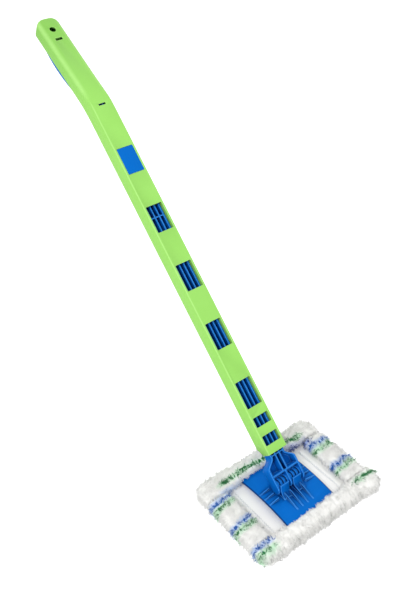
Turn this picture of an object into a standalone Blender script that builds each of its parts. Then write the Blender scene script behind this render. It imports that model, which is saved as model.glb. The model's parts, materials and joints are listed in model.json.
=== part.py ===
"""Telescopic flat mop: a lime green handle tube, a blue arm that slides in it, and a plush pad on a blue plate.

The origin is on the floor under the middle of the pad. +X is the hinge axis, -Y the way the head points and
+Z up. The handle side is built lying flat in the frame of an empty on the hinge axis, which tilts it up: there
+Y is the distance behind the axis, called run, and +Z is the side of the handle that faces up.
"""

import math

import bmesh
import bpy
from mathutils import Matrix, Vector

MM = 0.001

# Shared by all pieces
GAP = 0.3 * MM
SINK = 0.6 * MM
OVERRUN = 1.5 * MM
WELD = 0.001 * MM
HANDLE_TILT = math.radians(43.3)

# Handle tube, with its top face's height over the hinge axis
HANDLE_WIDTH = 29.0 * MM
GRIP_WIDTH = 30.4 * MM
HANDLE_DEPTH = 22.5 * MM
HANDLE_WALL = 2.2 * MM
HANDLE_EDGE = 1.2 * MM
GRIP_EDGE = 4.5 * MM
TOP_OVER_AXIS = 12.0 * MM
MOUTH_RUN = 36.5 * MM
MOUTH_SQUARE = 12.5 * MM
MOUTH_SLANT = 11.0 * MM
BEND_RUN = 516.0 * MM
BEND_RADIUS = 130.0 * MM
BEND_ANGLE = math.radians(13.3)
GRIP_LENGTH = 136.5 * MM
GRIP_BLEND = 20.0 * MM
GRIP_CORNER = 7.5 * MM
EDGE_STEPS = 3
BEND_STEPS = 6
CORNER_STEPS = 5

# Windows of the handle tube, counted from the head
WINDOW_COUNT = 5
WINDOW_PITCH = 80.0 * MM
WINDOW_LENGTH = 35.0 * MM
WINDOW_WIDTH = 23.4 * MM
WINDOW_CORNER = 1.0 * MM
WINDOW_RUN = 97.0 * MM
SMALL_WINDOW_COUNT = 2
SMALL_WINDOW_PITCH = 24.5 * MM
SMALL_WINDOW_LENGTH = 12.6 * MM
SMALL_WINDOW_RUN = 47.4 * MM
SLIT_RUN = 512.0 * MM
SLIT_WIDTH = 9.8 * MM
SLIT_LENGTH = 2.5 * MM

# Grip cover and the holes near the grip's end
HANG_HOLE_DIAMETER = 8.4 * MM
HANG_HOLE_TO_END = 18.5 * MM
HOLE_STEPS = 20
HOOK_SLOT_TO_END = 34.8 * MM
HOOK_SLOT_WIDTH = 9.8 * MM
HOOK_SLOT_LENGTH = 4.0 * MM
HOOK_RECESS = 6.0 * MM
COVER_START = 18.0 * MM
COVER_TO_END = 6.5 * MM
COVER_INSET = 1.0 * MM
COVER_TIP_WIDTH = 17.0 * MM
COVER_TIP_DEPTH = 0.6 * MM
COVER_BULGE = 3.0 * MM
COVER_EDGE = 2.0 * MM
COVER_FULLNESS = 0.7
COVER_STEPS = 14
OPENING_RIM = 4.0 * MM
OPENING_TO_END = 23.0 * MM
OPENING_WIDTH = 18.0 * MM
PLUG_HEIGHT = 1.6 * MM
LIP_LENGTH = 2.5 * MM
LIP_WALL = 1.4 * MM

# Arm that slides in the tube
ARM_WIDTH = 21.0 * MM
ARM_DEPTH = 15.0 * MM
ARM_RECESS = 4.8 * MM
ARM_WALL = 1.9 * MM
ARM_FLOOR = 1.8 * MM
ARM_RIB = 1.6 * MM
NECK_RUN = 33.0 * MM
CROSS_RIB_COUNT = 4
CROSS_RIB_PITCH = 108.0 * MM
CROSS_RIB = 1.3 * MM
ARM_PAST_BEND = 20.0 * MM
RAMP_LENGTH = 22.0 * MM
RAMP_DROP = 4.6 * MM
SHOE_LENGTH = 16.0 * MM
SHOE_TO_REAR = 14.0 * MM
SHOE_HEIGHT = 9.0 * MM
SHOE_CLEARANCE = 0.4 * MM

# Yoke at the arm's front end
YOKE_WIDTH = 43.0 * MM
FLARE_START = 31.0 * MM
FLARE_END = 19.5 * MM
FLARE_STEPS = 8
FINGER = 2.0 * MM
FINGER_REACH = 11.3 * MM
FINGER_STEPS = 12
CROSS_WALL_RUN = 10.5 * MM
CROSS_WALL = 1.8 * MM
MARK_DIAMETER = 3.2 * MM
MARK_HEIGHT = 0.4 * MM
MARK_RUN = 29.5 * MM
MARK_STEPS = 12

# Barrels between the yoke's fingers
BARREL_CORE = 6.0 * MM
DISC_DIAMETER = 12.0 * MM
DISC_THICKNESS = 2.5 * MM
DISC_COUNT = 4
BARREL_STEPS = 18

# Latch tongue over the arm
LATCH_GAP = 0.4 * MM
LATCH_RECESS = 0.2 * MM
LATCH_EDGE = 0.5 * MM
STRIP_WIDTH = 16.4 * MM
STRIP_THICKNESS = 1.8 * MM
LATCH_ROOT_TO_REAR = 39.0 * MM
ROOT_LENGTH = 3.0 * MM
LATCH_PRESS = math.radians(3.5)

# Head plate, claws, fins and ribs
AXIS_HEIGHT = 33.0 * MM
AXIS_BEHIND_CENTRE = 1.0 * MM
PLATE_BELOW_AXIS = 12.5 * MM
PLATE_WIDTH = 76.8 * MM
PLATE_THICKNESS = 2.2 * MM
PLATE_REAR = 54.0 * MM
PLATE_FRONT = 60.5 * MM
PLATE_RISE = 7.3 * MM
PLATE_STEPS = 14
CLAW_WALL = 1.8 * MM
CLAW_WIDTH = 13.0 * MM
CLAW_FOOT = 16.5 * MM
CLAW_TIP_AHEAD = 8.0 * MM
CLAW_TIP_HEIGHT = 4.0 * MM
CLAW_OPEN_FRONT = math.radians(27)
CLAW_OPEN_REAR = math.radians(160)
CLAW_STEPS = 14
RAMP_STEPS = 6
FIN_COUNT = 4
FIN_SPACING = 8.6 * MM
FIN_THICKNESS = 1.3 * MM
FIN_HEIGHT = 5.2 * MM
FIN_START = 11.0 * MM
FIN_END = 35.0 * MM
RIB_PLACES = (-7.0 * MM, 2.0 * MM, 11.0 * MM)
RIB_THICKNESS = 1.4 * MM
RIB_HEIGHT = 3.4 * MM
RIB_TO_YOKE = 0.8 * MM
RIB_TO_EDGE = 1.0 * MM

# Pad
PAD_WIDTH = 190.0 * MM
PAD_LENGTH = 137.0 * MM
PAD_CORNER = 17.0 * MM
PAD_CORNER_STEPS = 6
FACE_THICKNESS = 6.0 * MM
FACE_EDGE = 2.5 * MM
CORE_THICKNESS = 3.0 * MM
CORE_INSET = 12.3 * MM
BACKING_THICKNESS = 1.0 * MM
BACKING_INSET = 12.3 * MM
BORDER_HEIGHT = 13.0 * MM
BORDER_ROUND = 6.0 * MM
BORDER_STEPS = 4
SKIRT = 12.0 * MM
FRONT_BORDER = 29.0 * MM
REAR_BORDER = 33.0 * MM
SIDE_BORDER = 35.0 * MM
HEM_WIDTH = 1.8 * MM
HEM_HEIGHT = 1.0 * MM

# Worked out from the sizes above
HALF_WIDTH = HANDLE_WIDTH / 2
HALF_DEPTH = HANDLE_DEPTH / 2
TUBE_MIDDLE = TOP_OVER_AXIS - HALF_DEPTH
TUBE_BOTTOM = TOP_OVER_AXIS - HANDLE_DEPTH
BORE_TOP = TOP_OVER_AXIS - HANDLE_WALL
BORE_HALF_WIDTH = HALF_WIDTH - HANDLE_WALL
ARM_TOP = TOP_OVER_AXIS - ARM_RECESS
ARM_BOTTOM = ARM_TOP - ARM_DEPTH
FLOOR_TOP = ARM_BOTTOM + ARM_FLOOR
ARM_HALF = ARM_WIDTH / 2
YOKE_HALF = YOKE_WIDTH / 2
REAR_RUN = BEND_RUN + ARM_PAST_BEND
RAMP_RUN = REAR_RUN - RAMP_LENGTH
LATCH_ROOT_RUN = REAR_RUN - LATCH_ROOT_TO_REAR
RIB_AT = (ARM_WIDTH - ARM_WALL) / 6
BAY_WIDTH = YOKE_HALF - FINGER - FINGER / 2
BAY_AT = FINGER / 2 + BAY_WIDTH / 2
STRIP_TOP = BORE_TOP - GAP
STRIP_BOTTOM = STRIP_TOP - STRIP_THICKNESS
LATCH_RUN = WINDOW_RUN + (WINDOW_COUNT - 1) * WINDOW_PITCH + LATCH_GAP
LATCH_LENGTH = WINDOW_LENGTH - 2 * LATCH_GAP
LATCH_WIDTH = WINDOW_WIDTH - 2 * LATCH_GAP
LATCH_TRAVEL = (LATCH_ROOT_RUN - LATCH_RUN) * math.tan(LATCH_PRESS)
CORE_BOTTOM = FACE_THICKNESS + GAP
BACKING_BOTTOM = CORE_BOTTOM + CORE_THICKNESS + GAP
BORDER_BOTTOM = BACKING_BOTTOM + BACKING_THICKNESS + GAP
BORDER_TOP = BORDER_BOTTOM + BORDER_HEIGHT
SKIRT_BOTTOM = CORE_BOTTOM
PLATE_TOP = AXIS_HEIGHT - PLATE_BELOW_AXIS
PLATE_LENGTH = PLATE_FRONT + PLATE_REAR
PLATE_CENTRE = AXIS_BEHIND_CENTRE - (PLATE_FRONT - PLATE_REAR) / 2
PLATE_RADIUS = (PLATE_LENGTH**2 / 4 + PLATE_RISE**2) / (2 * PLATE_RISE)

# Outlines drawn as (run, height) and given their thickness along X
SIDEWAYS = Matrix(((0, 0, 1, 0), (1, 0, 0, 0), (0, 1, 0, 0), (0, 0, 0, 1)))
# Outlines drawn as (x, height) and given their thickness along Y
FACING = Matrix(((1, 0, 0, 0), (0, 0, -1, 0), (0, 1, 0, 0), (0, 0, 0, 1)))
# The grip's own frame: its origin is in the middle of the bend, +Y runs to the grip's end
GRIP_FRAME = Matrix.Translation((0, BEND_RUN, TUBE_MIDDLE)) @ Matrix.Rotation(-BEND_ANGLE, 4, "X")


def clear_scene():
    for thing in list(bpy.data.objects):
        bpy.data.objects.remove(thing)


def new_collection(name):
    group = bpy.data.collections.new(name)
    bpy.context.scene.collection.children.link(group)
    return group


def material(name, colour, roughness):
    made = bpy.data.materials.new(name)
    made.use_nodes = True
    shader = made.node_tree.nodes["Principled BSDF"]
    shader.inputs["Base Color"].default_value = (*colour, 1)
    shader.inputs["Roughness"].default_value = roughness
    shader.inputs["Metallic"].default_value = 0
    made.diffuse_color = (*colour, 1)
    return made


def empty(name, place, tilt=0, parent=None):
    made = bpy.data.objects.new(name, None)
    made.location = place
    made.rotation_euler = (tilt, 0, 0)
    made.parent = parent
    MOP.objects.link(made)
    return made


def part(name, mesh, finish, parent=None, smooth=math.radians(35)):
    """A piece of the mop, in its parent's frame."""
    made = bpy.data.objects.new(name, mesh)
    mesh.name = name
    mesh.materials.append(finish)
    mesh.shade_smooth()
    mesh.set_sharp_from_angle(angle=smooth)
    made.parent = parent
    MOP.objects.link(made)
    return made


def helper(name, mesh, parent=None):
    """A shape that a Boolean cuts with or joins on. It isn't part of the mop by itself."""
    made = bpy.data.objects.new(name, mesh)
    mesh.name = name
    made.parent = parent
    made.hide_render = True
    made.display_type = "WIRE"
    HELPERS.objects.link(made)
    return made


def combine(target, mesh, operation, name):
    tool = helper(f"{target.name}_{name}", mesh, target.parent)
    modifier = target.modifiers.new(name, "BOOLEAN")
    modifier.operation = operation
    modifier.object = tool


def cut(target, mesh, name):
    combine(target, mesh, "DIFFERENCE", name)


def join(target, mesh, name):
    combine(target, mesh, "UNION", name)


def mesh_of(bm, place=None):
    """The bmesh as a new mesh, moved to its place, with its faces pointing out."""
    if place is not None:
        bmesh.ops.transform(bm, matrix=place, verts=bm.verts)
    bmesh.ops.recalc_face_normals(bm, faces=bm.faces)
    mesh = bpy.data.meshes.new("shape")
    bm.to_mesh(mesh)
    bm.free()
    return mesh


def boxes(*spans, place=None):
    """One mesh of separate boxes, each given as its span along X, Y and Z."""
    bm = bmesh.new()
    for span in spans:
        middle = Vector([(low + high) / 2 for low, high in span])
        size = [high - low for low, high in span]
        bmesh.ops.create_cube(bm, size=1, matrix=Matrix.Translation(middle) @ Matrix.Diagonal((*size, 1)))
    return mesh_of(bm, place)


def cylinders(*centres, diameter, height, steps, place=None):
    """One mesh of separate upright cylinders."""
    bm = bmesh.new()
    for centre in centres:
        bmesh.ops.create_cone(
            bm,
            cap_ends=True,
            segments=steps,
            radius1=diameter / 2,
            radius2=diameter / 2,
            depth=height,
            matrix=Matrix.Translation(centre),
        )
    return mesh_of(bm, place)


def prism(outline, thickness, place=None):
    """A flat outline as a filled 2D curve, given half its thickness to each side, as a welded mesh."""
    curve = bpy.data.curves.new("outline", "CURVE")
    curve.dimensions = "2D"
    curve.fill_mode = "BOTH"
    curve.extrude = thickness / 2
    spline = curve.splines.new("POLY")
    spline.points.add(len(outline) - 1)
    spline.use_cyclic_u = True
    for point, (across, up) in zip(spline.points, outline):
        point.co = (across, up, 0, 1)
    drawn = bpy.data.objects.new("outline", curve)
    HELPERS.objects.link(drawn)
    graph = bpy.context.evaluated_depsgraph_get()
    filled = bpy.data.meshes.new_from_object(drawn.evaluated_get(graph))
    bpy.data.objects.remove(drawn)
    bm = bmesh.new()
    bm.from_mesh(filled)
    bpy.data.meshes.remove(filled)
    bmesh.ops.remove_doubles(bm, verts=bm.verts, dist=WELD)
    return mesh_of(bm, place)


def arc(centre, radius, start, end, steps):
    """Points along an arc, both ends included."""
    angles = [start + (end - start) * step / steps for step in range(steps + 1)]
    return [(centre[0] + radius * math.cos(a), centre[1] + radius * math.sin(a)) for a in angles]


def rounded_rectangle(width, length, radius, steps):
    """Its outline, counter-clockwise about the origin."""
    across, along = width / 2 - radius, length / 2 - radius
    points = []
    for quarter, (x, y) in enumerate(((across, along), (-across, along), (-across, -along), (across, -along))):
        start = quarter * math.pi / 2
        points += arc((x, y), radius, start, start + math.pi / 2, steps)
    return points


def handle_centre(run):
    """The tube's centre line at this length of it, measured from below the hinge axis: place and slope."""
    bend_start = BEND_RUN - BEND_RADIUS * math.tan(BEND_ANGLE / 2)
    turned = min(max((run - bend_start) / BEND_RADIUS, 0), BEND_ANGLE)
    straight = run - bend_start - turned * BEND_RADIUS
    before = min(straight, 0)
    after = max(straight, 0)
    y = bend_start + before + BEND_RADIUS * math.sin(turned) + after * math.cos(turned)
    z = TUBE_MIDDLE - BEND_RADIUS * (1 - math.cos(turned)) - after * math.sin(turned)
    return Vector((0, y, z)), turned


def handle_stations(first, end_wall, corner):
    """Lengths of the tube where its section is drawn, each with how much the rounded end narrows it."""
    bend_start = BEND_RUN - BEND_RADIUS * math.tan(BEND_ANGLE / 2)
    bend_length = BEND_RADIUS * BEND_ANGLE
    last = bend_start + bend_length + GRIP_LENGTH - BEND_RADIUS * math.tan(BEND_ANGLE / 2) - end_wall
    stations = [(first, 0)]
    stations += [(bend_start + bend_length * step / BEND_STEPS, 0) for step in range(BEND_STEPS + 1)]
    stations.append((bend_start + bend_length + GRIP_BLEND, 0))
    for angle in (math.pi / 2 * step / CORNER_STEPS for step in range(CORNER_STEPS + 1)):
        stations.append((last - corner * (1 - math.sin(angle)), corner * (1 - math.cos(angle))))
    return stations


def tube_mesh(shrink, first, end_wall, edge, grip_edge, corner):
    """A bar along the handle's centre line, this much inside its outer faces, lofted between its sections."""
    stations = handle_stations(first, end_wall, corner)
    blend_start = BEND_RUN
    blend_end = blend_start + GRIP_BLEND
    bm = bmesh.new()
    rings = []
    for run, narrowing in stations:
        centre, slope = handle_centre(run)
        share = min(max((run - blend_start) / (blend_end - blend_start), 0), 1)
        radius = edge + (grip_edge - edge) * share
        width = HANDLE_WIDTH + (GRIP_WIDTH - HANDLE_WIDTH) * share - 2 * (shrink + narrowing)
        depth = HANDLE_DEPTH - 2 * shrink
        turn = Matrix.Translation(centre) @ Matrix.Rotation(-slope, 4, "X")
        outline = rounded_rectangle(width, depth, radius, EDGE_STEPS)
        rings.append([bm.verts.new(turn @ Vector((x, 0, z))) for x, z in outline])
    for ring, following in zip(rings, rings[1:]):
        for here in range(len(ring)):
            there = (here + 1) % len(ring)
            bm.faces.new((ring[here], ring[there], following[there], following[here]))
    bm.faces.new(rings[0])
    bm.faces.new(rings[-1])
    return mesh_of(bm)


def window_cutters():
    """One tall block for each window, cut from the tube's top face through to its underside."""
    tall = HANDLE_DEPTH + 2 * OVERRUN
    runs = [(WINDOW_RUN + n * WINDOW_PITCH, WINDOW_LENGTH) for n in range(WINDOW_COUNT)]
    runs += [
        (SMALL_WINDOW_RUN + n * SMALL_WINDOW_PITCH, SMALL_WINDOW_LENGTH)
        for n in range(SMALL_WINDOW_COUNT)
    ]
    for run, length in runs:
        outline = rounded_rectangle(WINDOW_WIDTH, length, WINDOW_CORNER, EDGE_STEPS)
        yield prism(outline, tall, Matrix.Translation((0, run + length / 2, TUBE_MIDDLE)))


def make_handle_tube(finish, tilt):
    outer = tube_mesh(0, MOUTH_RUN, 0, HANDLE_EDGE, GRIP_EDGE, GRIP_CORNER)
    tube = part("handle_tube", outer, finish, tilt)
    bore_edge = HANDLE_EDGE / 2
    grip_bore_edge = GRIP_EDGE - HANDLE_WALL
    bore_corner = GRIP_CORNER - HANDLE_WALL
    first = MOUTH_RUN - OVERRUN
    cut(tube, tube_mesh(HANDLE_WALL, first, HANDLE_WALL, bore_edge, grip_bore_edge, bore_corner), "bore")
    for number, cutter in enumerate(window_cutters()):
        cut(tube, cutter, f"window_{number}")
    slant_top = TOP_OVER_AXIS - MOUTH_SQUARE
    steep = MOUTH_SLANT / (slant_top - TUBE_BOTTOM)
    wedge = [
        (MOUTH_RUN - OVERRUN, slant_top),
        (MOUTH_RUN, slant_top),
        (MOUTH_RUN + MOUTH_SLANT + steep * OVERRUN, TUBE_BOTTOM - OVERRUN),
        (MOUTH_RUN - OVERRUN, TUBE_BOTTOM - OVERRUN),
    ]
    cut(tube, prism(wedge, HANDLE_WIDTH + 2 * OVERRUN, SIDEWAYS), "mouth")
    slit = (
        (-SLIT_WIDTH / 2, SLIT_WIDTH / 2),
        (SLIT_RUN - SLIT_LENGTH / 2, SLIT_RUN + SLIT_LENGTH / 2),
        (TUBE_MIDDLE, TOP_OVER_AXIS + OVERRUN),
    )
    cut(tube, boxes(slit), "slit")
    slot_at = GRIP_LENGTH - HOOK_SLOT_TO_END
    slot = (
        (-HOOK_SLOT_WIDTH / 2, HOOK_SLOT_WIDTH / 2),
        (slot_at - HOOK_SLOT_LENGTH / 2, slot_at + HOOK_SLOT_LENGTH / 2),
        (0, HALF_DEPTH + OVERRUN),
    )
    opening = (
        (-OPENING_WIDTH / 2, OPENING_WIDTH / 2),
        (COVER_START + OPENING_RIM, GRIP_LENGTH - OPENING_TO_END),
        (-HALF_DEPTH - OVERRUN, -HALF_DEPTH + HANDLE_WALL + OVERRUN),
    )
    cut(tube, boxes(slot, opening, place=GRIP_FRAME), "hook_slot_and_opening")
    cut(tube, hanging_hole(), "hanging_hole")


def hanging_hole():
    """Through the grip and its cover."""
    deep = HANDLE_DEPTH + 2 * COVER_BULGE + 2 * OVERRUN
    centre = (0, GRIP_LENGTH - HANG_HOLE_TO_END, 0)
    return cylinders(centre, diameter=HANG_HOLE_DIAMETER, height=deep, steps=HOLE_STEPS, place=GRIP_FRAME)


def grip_cover_mesh(end, top):
    """A crescent, lofted between sections whose upper side follows the grip's rounded underside."""
    flat = GRIP_WIDTH / 2 - GRIP_EDGE
    reach = GRIP_EDGE + GAP
    full = GRIP_WIDTH / 2 - COVER_INSET
    bm = bmesh.new()
    rings = []
    for share in (step / COVER_STEPS for step in range(COVER_STEPS + 1)):
        along = (1 - math.cos(math.pi * share)) / 2
        fullness = max(math.sin(math.pi * along), 0) ** COVER_FULLNESS
        half = COVER_TIP_WIDTH / 2 + (full - COVER_TIP_WIDTH / 2) * fullness
        depth = COVER_TIP_DEPTH + (COVER_BULGE - COVER_TIP_DEPTH) * fullness
        edge = min(COVER_EDGE, depth * COVER_FULLNESS)
        brim = []
        for mark in (flat + (full - flat) * step / EDGE_STEPS for step in range(EDGE_STEPS + 1)):
            x = mark * half / full
            past = max(x - flat, 0)
            brim.append((x, top + reach - math.sqrt(reach**2 - past**2)))
        corner = (half - edge, top - depth + edge)
        side = brim + arc(corner, edge, 0, -math.pi / 2, EDGE_STEPS)
        outline = side + [(-x, z) for x, z in reversed(side)]
        y = COVER_START + (end - COVER_START) * along
        rings.append([bm.verts.new((x, y, z)) for x, z in outline])
    for ring, following in zip(rings, rings[1:]):
        for here in range(len(ring)):
            there = (here + 1) % len(ring)
            bm.faces.new((ring[here], ring[there], following[there], following[here]))
    bm.faces.new(rings[0])
    bm.faces.new(rings[-1])
    return mesh_of(bm, GRIP_FRAME)


def make_grip_cover(finish, tilt):
    """A bulging lid with a plug in the grip's opening, a lip under its front rim and a hook to the top slot."""
    top = -HALF_DEPTH - GAP
    cover = part("grip_cover", grip_cover_mesh(GRIP_LENGTH - COVER_TO_END, top), finish, tilt)
    plug_start = COVER_START + OPENING_RIM + GAP
    plug_end = GRIP_LENGTH - OPENING_TO_END - GAP
    plug_half = OPENING_WIDTH / 2 - GAP
    inner_wall = -HALF_DEPTH + HANDLE_WALL
    plug = ((-plug_half, plug_half), (plug_start, plug_end), (top - SINK, inner_wall + PLUG_HEIGHT))
    lip = (
        (-plug_half + LIP_WALL, plug_half - LIP_WALL),
        (plug_start - LIP_LENGTH, plug_start + LIP_WALL),
        (inner_wall + GAP, inner_wall + PLUG_HEIGHT - GAP),
    )
    hook_half = HOOK_SLOT_WIDTH / 2 - GAP
    hook_at = GRIP_LENGTH - HOOK_SLOT_TO_END
    hook_deep = HOOK_SLOT_LENGTH / 2 - GAP
    hook = (
        (-hook_half, hook_half),
        (hook_at - hook_deep, hook_at + hook_deep),
        (inner_wall, HALF_DEPTH - HOOK_RECESS),
    )
    join(cover, boxes(plug, place=GRIP_FRAME), "plug")
    join(cover, boxes(lip, hook, place=GRIP_FRAME), "lip_and_hook")
    cut(cover, hanging_hole(), "hanging_hole")


def flare_half(run, wall=0):
    """Half the arm's outer width at this run, less a wall: narrow in the tube, an S-curve, then the yoke."""
    share = min(max((FLARE_START - run) / (FLARE_START - FLARE_END), 0), 1)
    eased = share * share * (3 - 2 * share)
    return ARM_HALF + (YOKE_HALF - ARM_HALF) * eased - wall


def flare_runs(first, last):
    steps = [FLARE_END + (FLARE_START - FLARE_END) * n / FLARE_STEPS for n in range(FLARE_STEPS + 1)]
    return [first] + [run for run in steps if first < run < last] + [last]


def arm_outline():
    side = [(flare_half(run), run) for run in flare_runs(-FINGER_REACH, REAR_RUN)]
    return side + [(-x, y) for x, y in reversed(side)]


def groove_spans():
    """The three grooves between the arm's walls and ribs, broken by the cross ribs and the latch's root."""
    ribs = [(NECK_RUN + n * CROSS_RIB_PITCH, CROSS_RIB) for n in range(CROSS_RIB_COUNT)]
    ribs.append((LATCH_ROOT_RUN, ROOT_LENGTH))
    ends = [run + rib / 2 for run, rib in ribs]
    starts = [run - rib / 2 for run, rib in ribs[1:]] + [RAMP_RUN]
    inner = RIB_AT + ARM_RIB / 2
    middle = RIB_AT - ARM_RIB / 2
    outer = ARM_HALF - ARM_WALL
    for near, far in zip(ends, starts):
        for low, high in ((-outer, -inner), (-middle, middle), (inner, outer)):
            yield ((low, high), (near, far), (FLOOR_TOP, ARM_TOP + OVERRUN))


def yoke_pockets():
    """Between the neck rib and the cross wall: one pocket between the inner ribs, one curved one each side."""
    near = CROSS_WALL_RUN + CROSS_WALL / 2
    far = NECK_RUN - CROSS_RIB / 2
    tall = ARM_TOP + OVERRUN - FLOOR_TOP
    lift = Matrix.Translation((0, 0, FLOOR_TOP + tall / 2))
    inner = RIB_AT + ARM_RIB / 2
    curve = [(flare_half(run, FINGER), run) for run in flare_runs(near, far)]
    right = [(inner, near)] + curve + [(inner, far)]
    left = [(-x, y) for x, y in reversed(right)]
    middle = RIB_AT - ARM_RIB / 2
    yield boxes(((-middle, middle), (near, far), (FLOOR_TOP, ARM_TOP + OVERRUN)))
    yield prism(right, tall, lift)
    yield prism(left, tall, lift)


def finger_tip_cutter():
    """All that lies outside the fingers' round tips."""
    radius = ARM_DEPTH / 2
    middle = (radius - FINGER_REACH, ARM_BOTTOM + radius)
    beyond = -FINGER_REACH - OVERRUN
    outline = arc(middle, radius, math.pi / 2, 3 * math.pi / 2, FINGER_STEPS)
    outline += [
        (middle[0], ARM_BOTTOM - OVERRUN),
        (beyond, ARM_BOTTOM - OVERRUN),
        (beyond, ARM_TOP + OVERRUN),
        (middle[0], ARM_TOP + OVERRUN),
    ]
    return prism(outline, YOKE_WIDTH + 2 * OVERRUN, SIDEWAYS)


def make_arm(finish, tilt):
    lift = Matrix.Translation((0, 0, ARM_BOTTOM + ARM_DEPTH / 2))
    arm = part("arm", prism(arm_outline(), ARM_DEPTH, lift), finish, tilt)
    cut(arm, boxes(*groove_spans()), "grooves")
    for number, cutter in enumerate(yoke_pockets()):
        cut(arm, cutter, f"yoke_pocket_{number}")
    bay_end = CROSS_WALL_RUN - CROSS_WALL / 2
    bays = [
        ((low, high), (-FINGER_REACH - OVERRUN, bay_end), (ARM_BOTTOM - OVERRUN, ARM_TOP + OVERRUN))
        for low, high in (
            (BAY_AT - BAY_WIDTH / 2, BAY_AT + BAY_WIDTH / 2),
            (-BAY_AT - BAY_WIDTH / 2, -BAY_AT + BAY_WIDTH / 2),
        )
    ]
    cut(arm, boxes(*bays), "bays")
    cut(arm, finger_tip_cutter(), "finger_tips")
    slope = RAMP_DROP / (REAR_RUN - RAMP_RUN)
    wedge = [
        (RAMP_RUN - OVERRUN, ARM_TOP + OVERRUN * slope),
        (REAR_RUN + OVERRUN, ARM_TOP - RAMP_DROP - OVERRUN * slope),
        (REAR_RUN + OVERRUN, ARM_TOP + OVERRUN),
        (RAMP_RUN - OVERRUN, ARM_TOP + OVERRUN),
    ]
    cut(arm, prism(wedge, ARM_WIDTH + 2 * OVERRUN, SIDEWAYS), "rear_ramp")
    cut(arm, latch_clearance(), "latch_clearance")
    shoe_end = REAR_RUN - SHOE_TO_REAR
    reach = BORE_HALF_WIDTH - SHOE_CLEARANCE
    inside = ARM_HALF - ARM_WALL / 2
    low = ARM_BOTTOM + ARM_FLOOR / 2
    shoes = [
        (span, (shoe_end - SHOE_LENGTH, shoe_end), (low, low + SHOE_HEIGHT))
        for span in ((inside, reach), (-reach, -inside))
    ]
    join(arm, boxes(*shoes), "guide_shoes")
    mark_at = (RIB_AT + ARM_RIB / 2 + ARM_HALF - ARM_WALL) / 2
    height = MARK_HEIGHT + SINK
    middle = FLOOR_TOP + MARK_HEIGHT - height / 2
    marks = [(side * mark_at, MARK_RUN, middle) for side in (-1, 1)]
    join(arm, cylinders(*marks, diameter=MARK_DIAMETER, height=height, steps=MARK_STEPS), "ejector_marks")


def latch_clearance():
    """Room for the tongue to be pressed: lower inner ribs under its strip, lower side walls under its pad."""
    pad_front = LATCH_RUN - OVERRUN
    pad_rear = LATCH_RUN + LATCH_LENGTH + OVERRUN
    rib_top = STRIP_BOTTOM - LATCH_TRAVEL - 2 * GAP
    wall_top = STRIP_TOP - LATCH_TRAVEL - 2 * GAP
    strip_half = STRIP_WIDTH / 2
    outside = ARM_HALF + OVERRUN
    above = ARM_TOP + OVERRUN
    strip = ((-strip_half, strip_half), (pad_front, LATCH_ROOT_RUN - ROOT_LENGTH), (rib_top, above))
    walls = [
        (span, (pad_front, pad_rear), (wall_top, above))
        for span in ((-outside, -strip_half + GAP), (strip_half - GAP, outside))
    ]
    return boxes(strip, *walls)


def make_latch(finish, root):
    """The tongue lies level at rest, its root on the empty that it turns about when it is pressed."""
    to_root = Matrix.Translation((0, -LATCH_ROOT_RUN, -STRIP_BOTTOM))
    pad_end = LATCH_RUN + LATCH_LENGTH
    pad_top = TOP_OVER_AXIS - LATCH_RECESS
    pad = rounded_rectangle(LATCH_WIDTH, LATCH_LENGTH, WINDOW_CORNER, EDGE_STEPS)
    tall = pad_top - STRIP_TOP + GAP
    place = Matrix.Translation((0, (LATCH_RUN + pad_end) / 2, pad_top - tall / 2))
    tongue = part("latch_tongue", prism(pad, tall, to_root @ place), finish, root)
    rounding = tongue.modifiers.new("soft_edges", "BEVEL")
    rounding.width = LATCH_EDGE
    rounding.segments = 2
    rounding.limit_method = "ANGLE"
    rounding.angle_limit = math.radians(60)
    strip = (
        (-STRIP_WIDTH / 2 + GAP, STRIP_WIDTH / 2 - GAP),
        (LATCH_RUN + LATCH_EDGE, LATCH_ROOT_RUN + ROOT_LENGTH / 2),
        (STRIP_BOTTOM, STRIP_TOP),
    )
    join(tongue, boxes(strip, place=to_root), "strip")


def make_barrel(name, side, finish, tilt):
    """A turned bar along X with round discs, filling one bay of the yoke."""
    length = BAY_WIDTH - 2 * GAP
    step = (length - DISC_THICKNESS) / (DISC_COUNT - 1)
    profile = [(0, length / 2)]
    for number in range(DISC_COUNT):
        top = length / 2 - number * step
        bottom = top - DISC_THICKNESS
        if number > 0:
            profile.append((BARREL_CORE / 2, top))
        profile += [(DISC_DIAMETER / 2, top), (DISC_DIAMETER / 2, bottom)]
        if number < DISC_COUNT - 1:
            profile.append((BARREL_CORE / 2, bottom))
    profile.append((0, -length / 2))
    bm = bmesh.new()
    points = [bm.verts.new((radius, 0, height)) for radius, height in profile]
    for here, there in zip(points, points[1:]):
        bm.edges.new((here, there))
    mesh = bpy.data.meshes.new(name)
    bm.to_mesh(mesh)
    bm.free()
    barrel = part(name, mesh, finish, tilt)
    turn = barrel.modifiers.new("turned", "SCREW")
    turn.steps = BARREL_STEPS
    turn.render_steps = BARREL_STEPS
    turn.use_merge_vertices = True
    turn.merge_threshold = WELD
    barrel.location = (side * BAY_AT, 0, 0)
    barrel.rotation_euler = (0, math.pi / 2, 0)


def from_axis(ahead, up):
    """A point of the head's side view, given from the hinge axis, as (y, z)."""
    return (AXIS_BEHIND_CENTRE - ahead, AXIS_HEIGHT + up)


def plate_height(y, lift=0):
    """The arched plate's top surface at this y, moved out along its curve's radius by lift."""
    return PLATE_TOP - PLATE_RADIUS + math.sqrt((PLATE_RADIUS + lift) ** 2 - (y - PLATE_CENTRE) ** 2)


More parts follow.
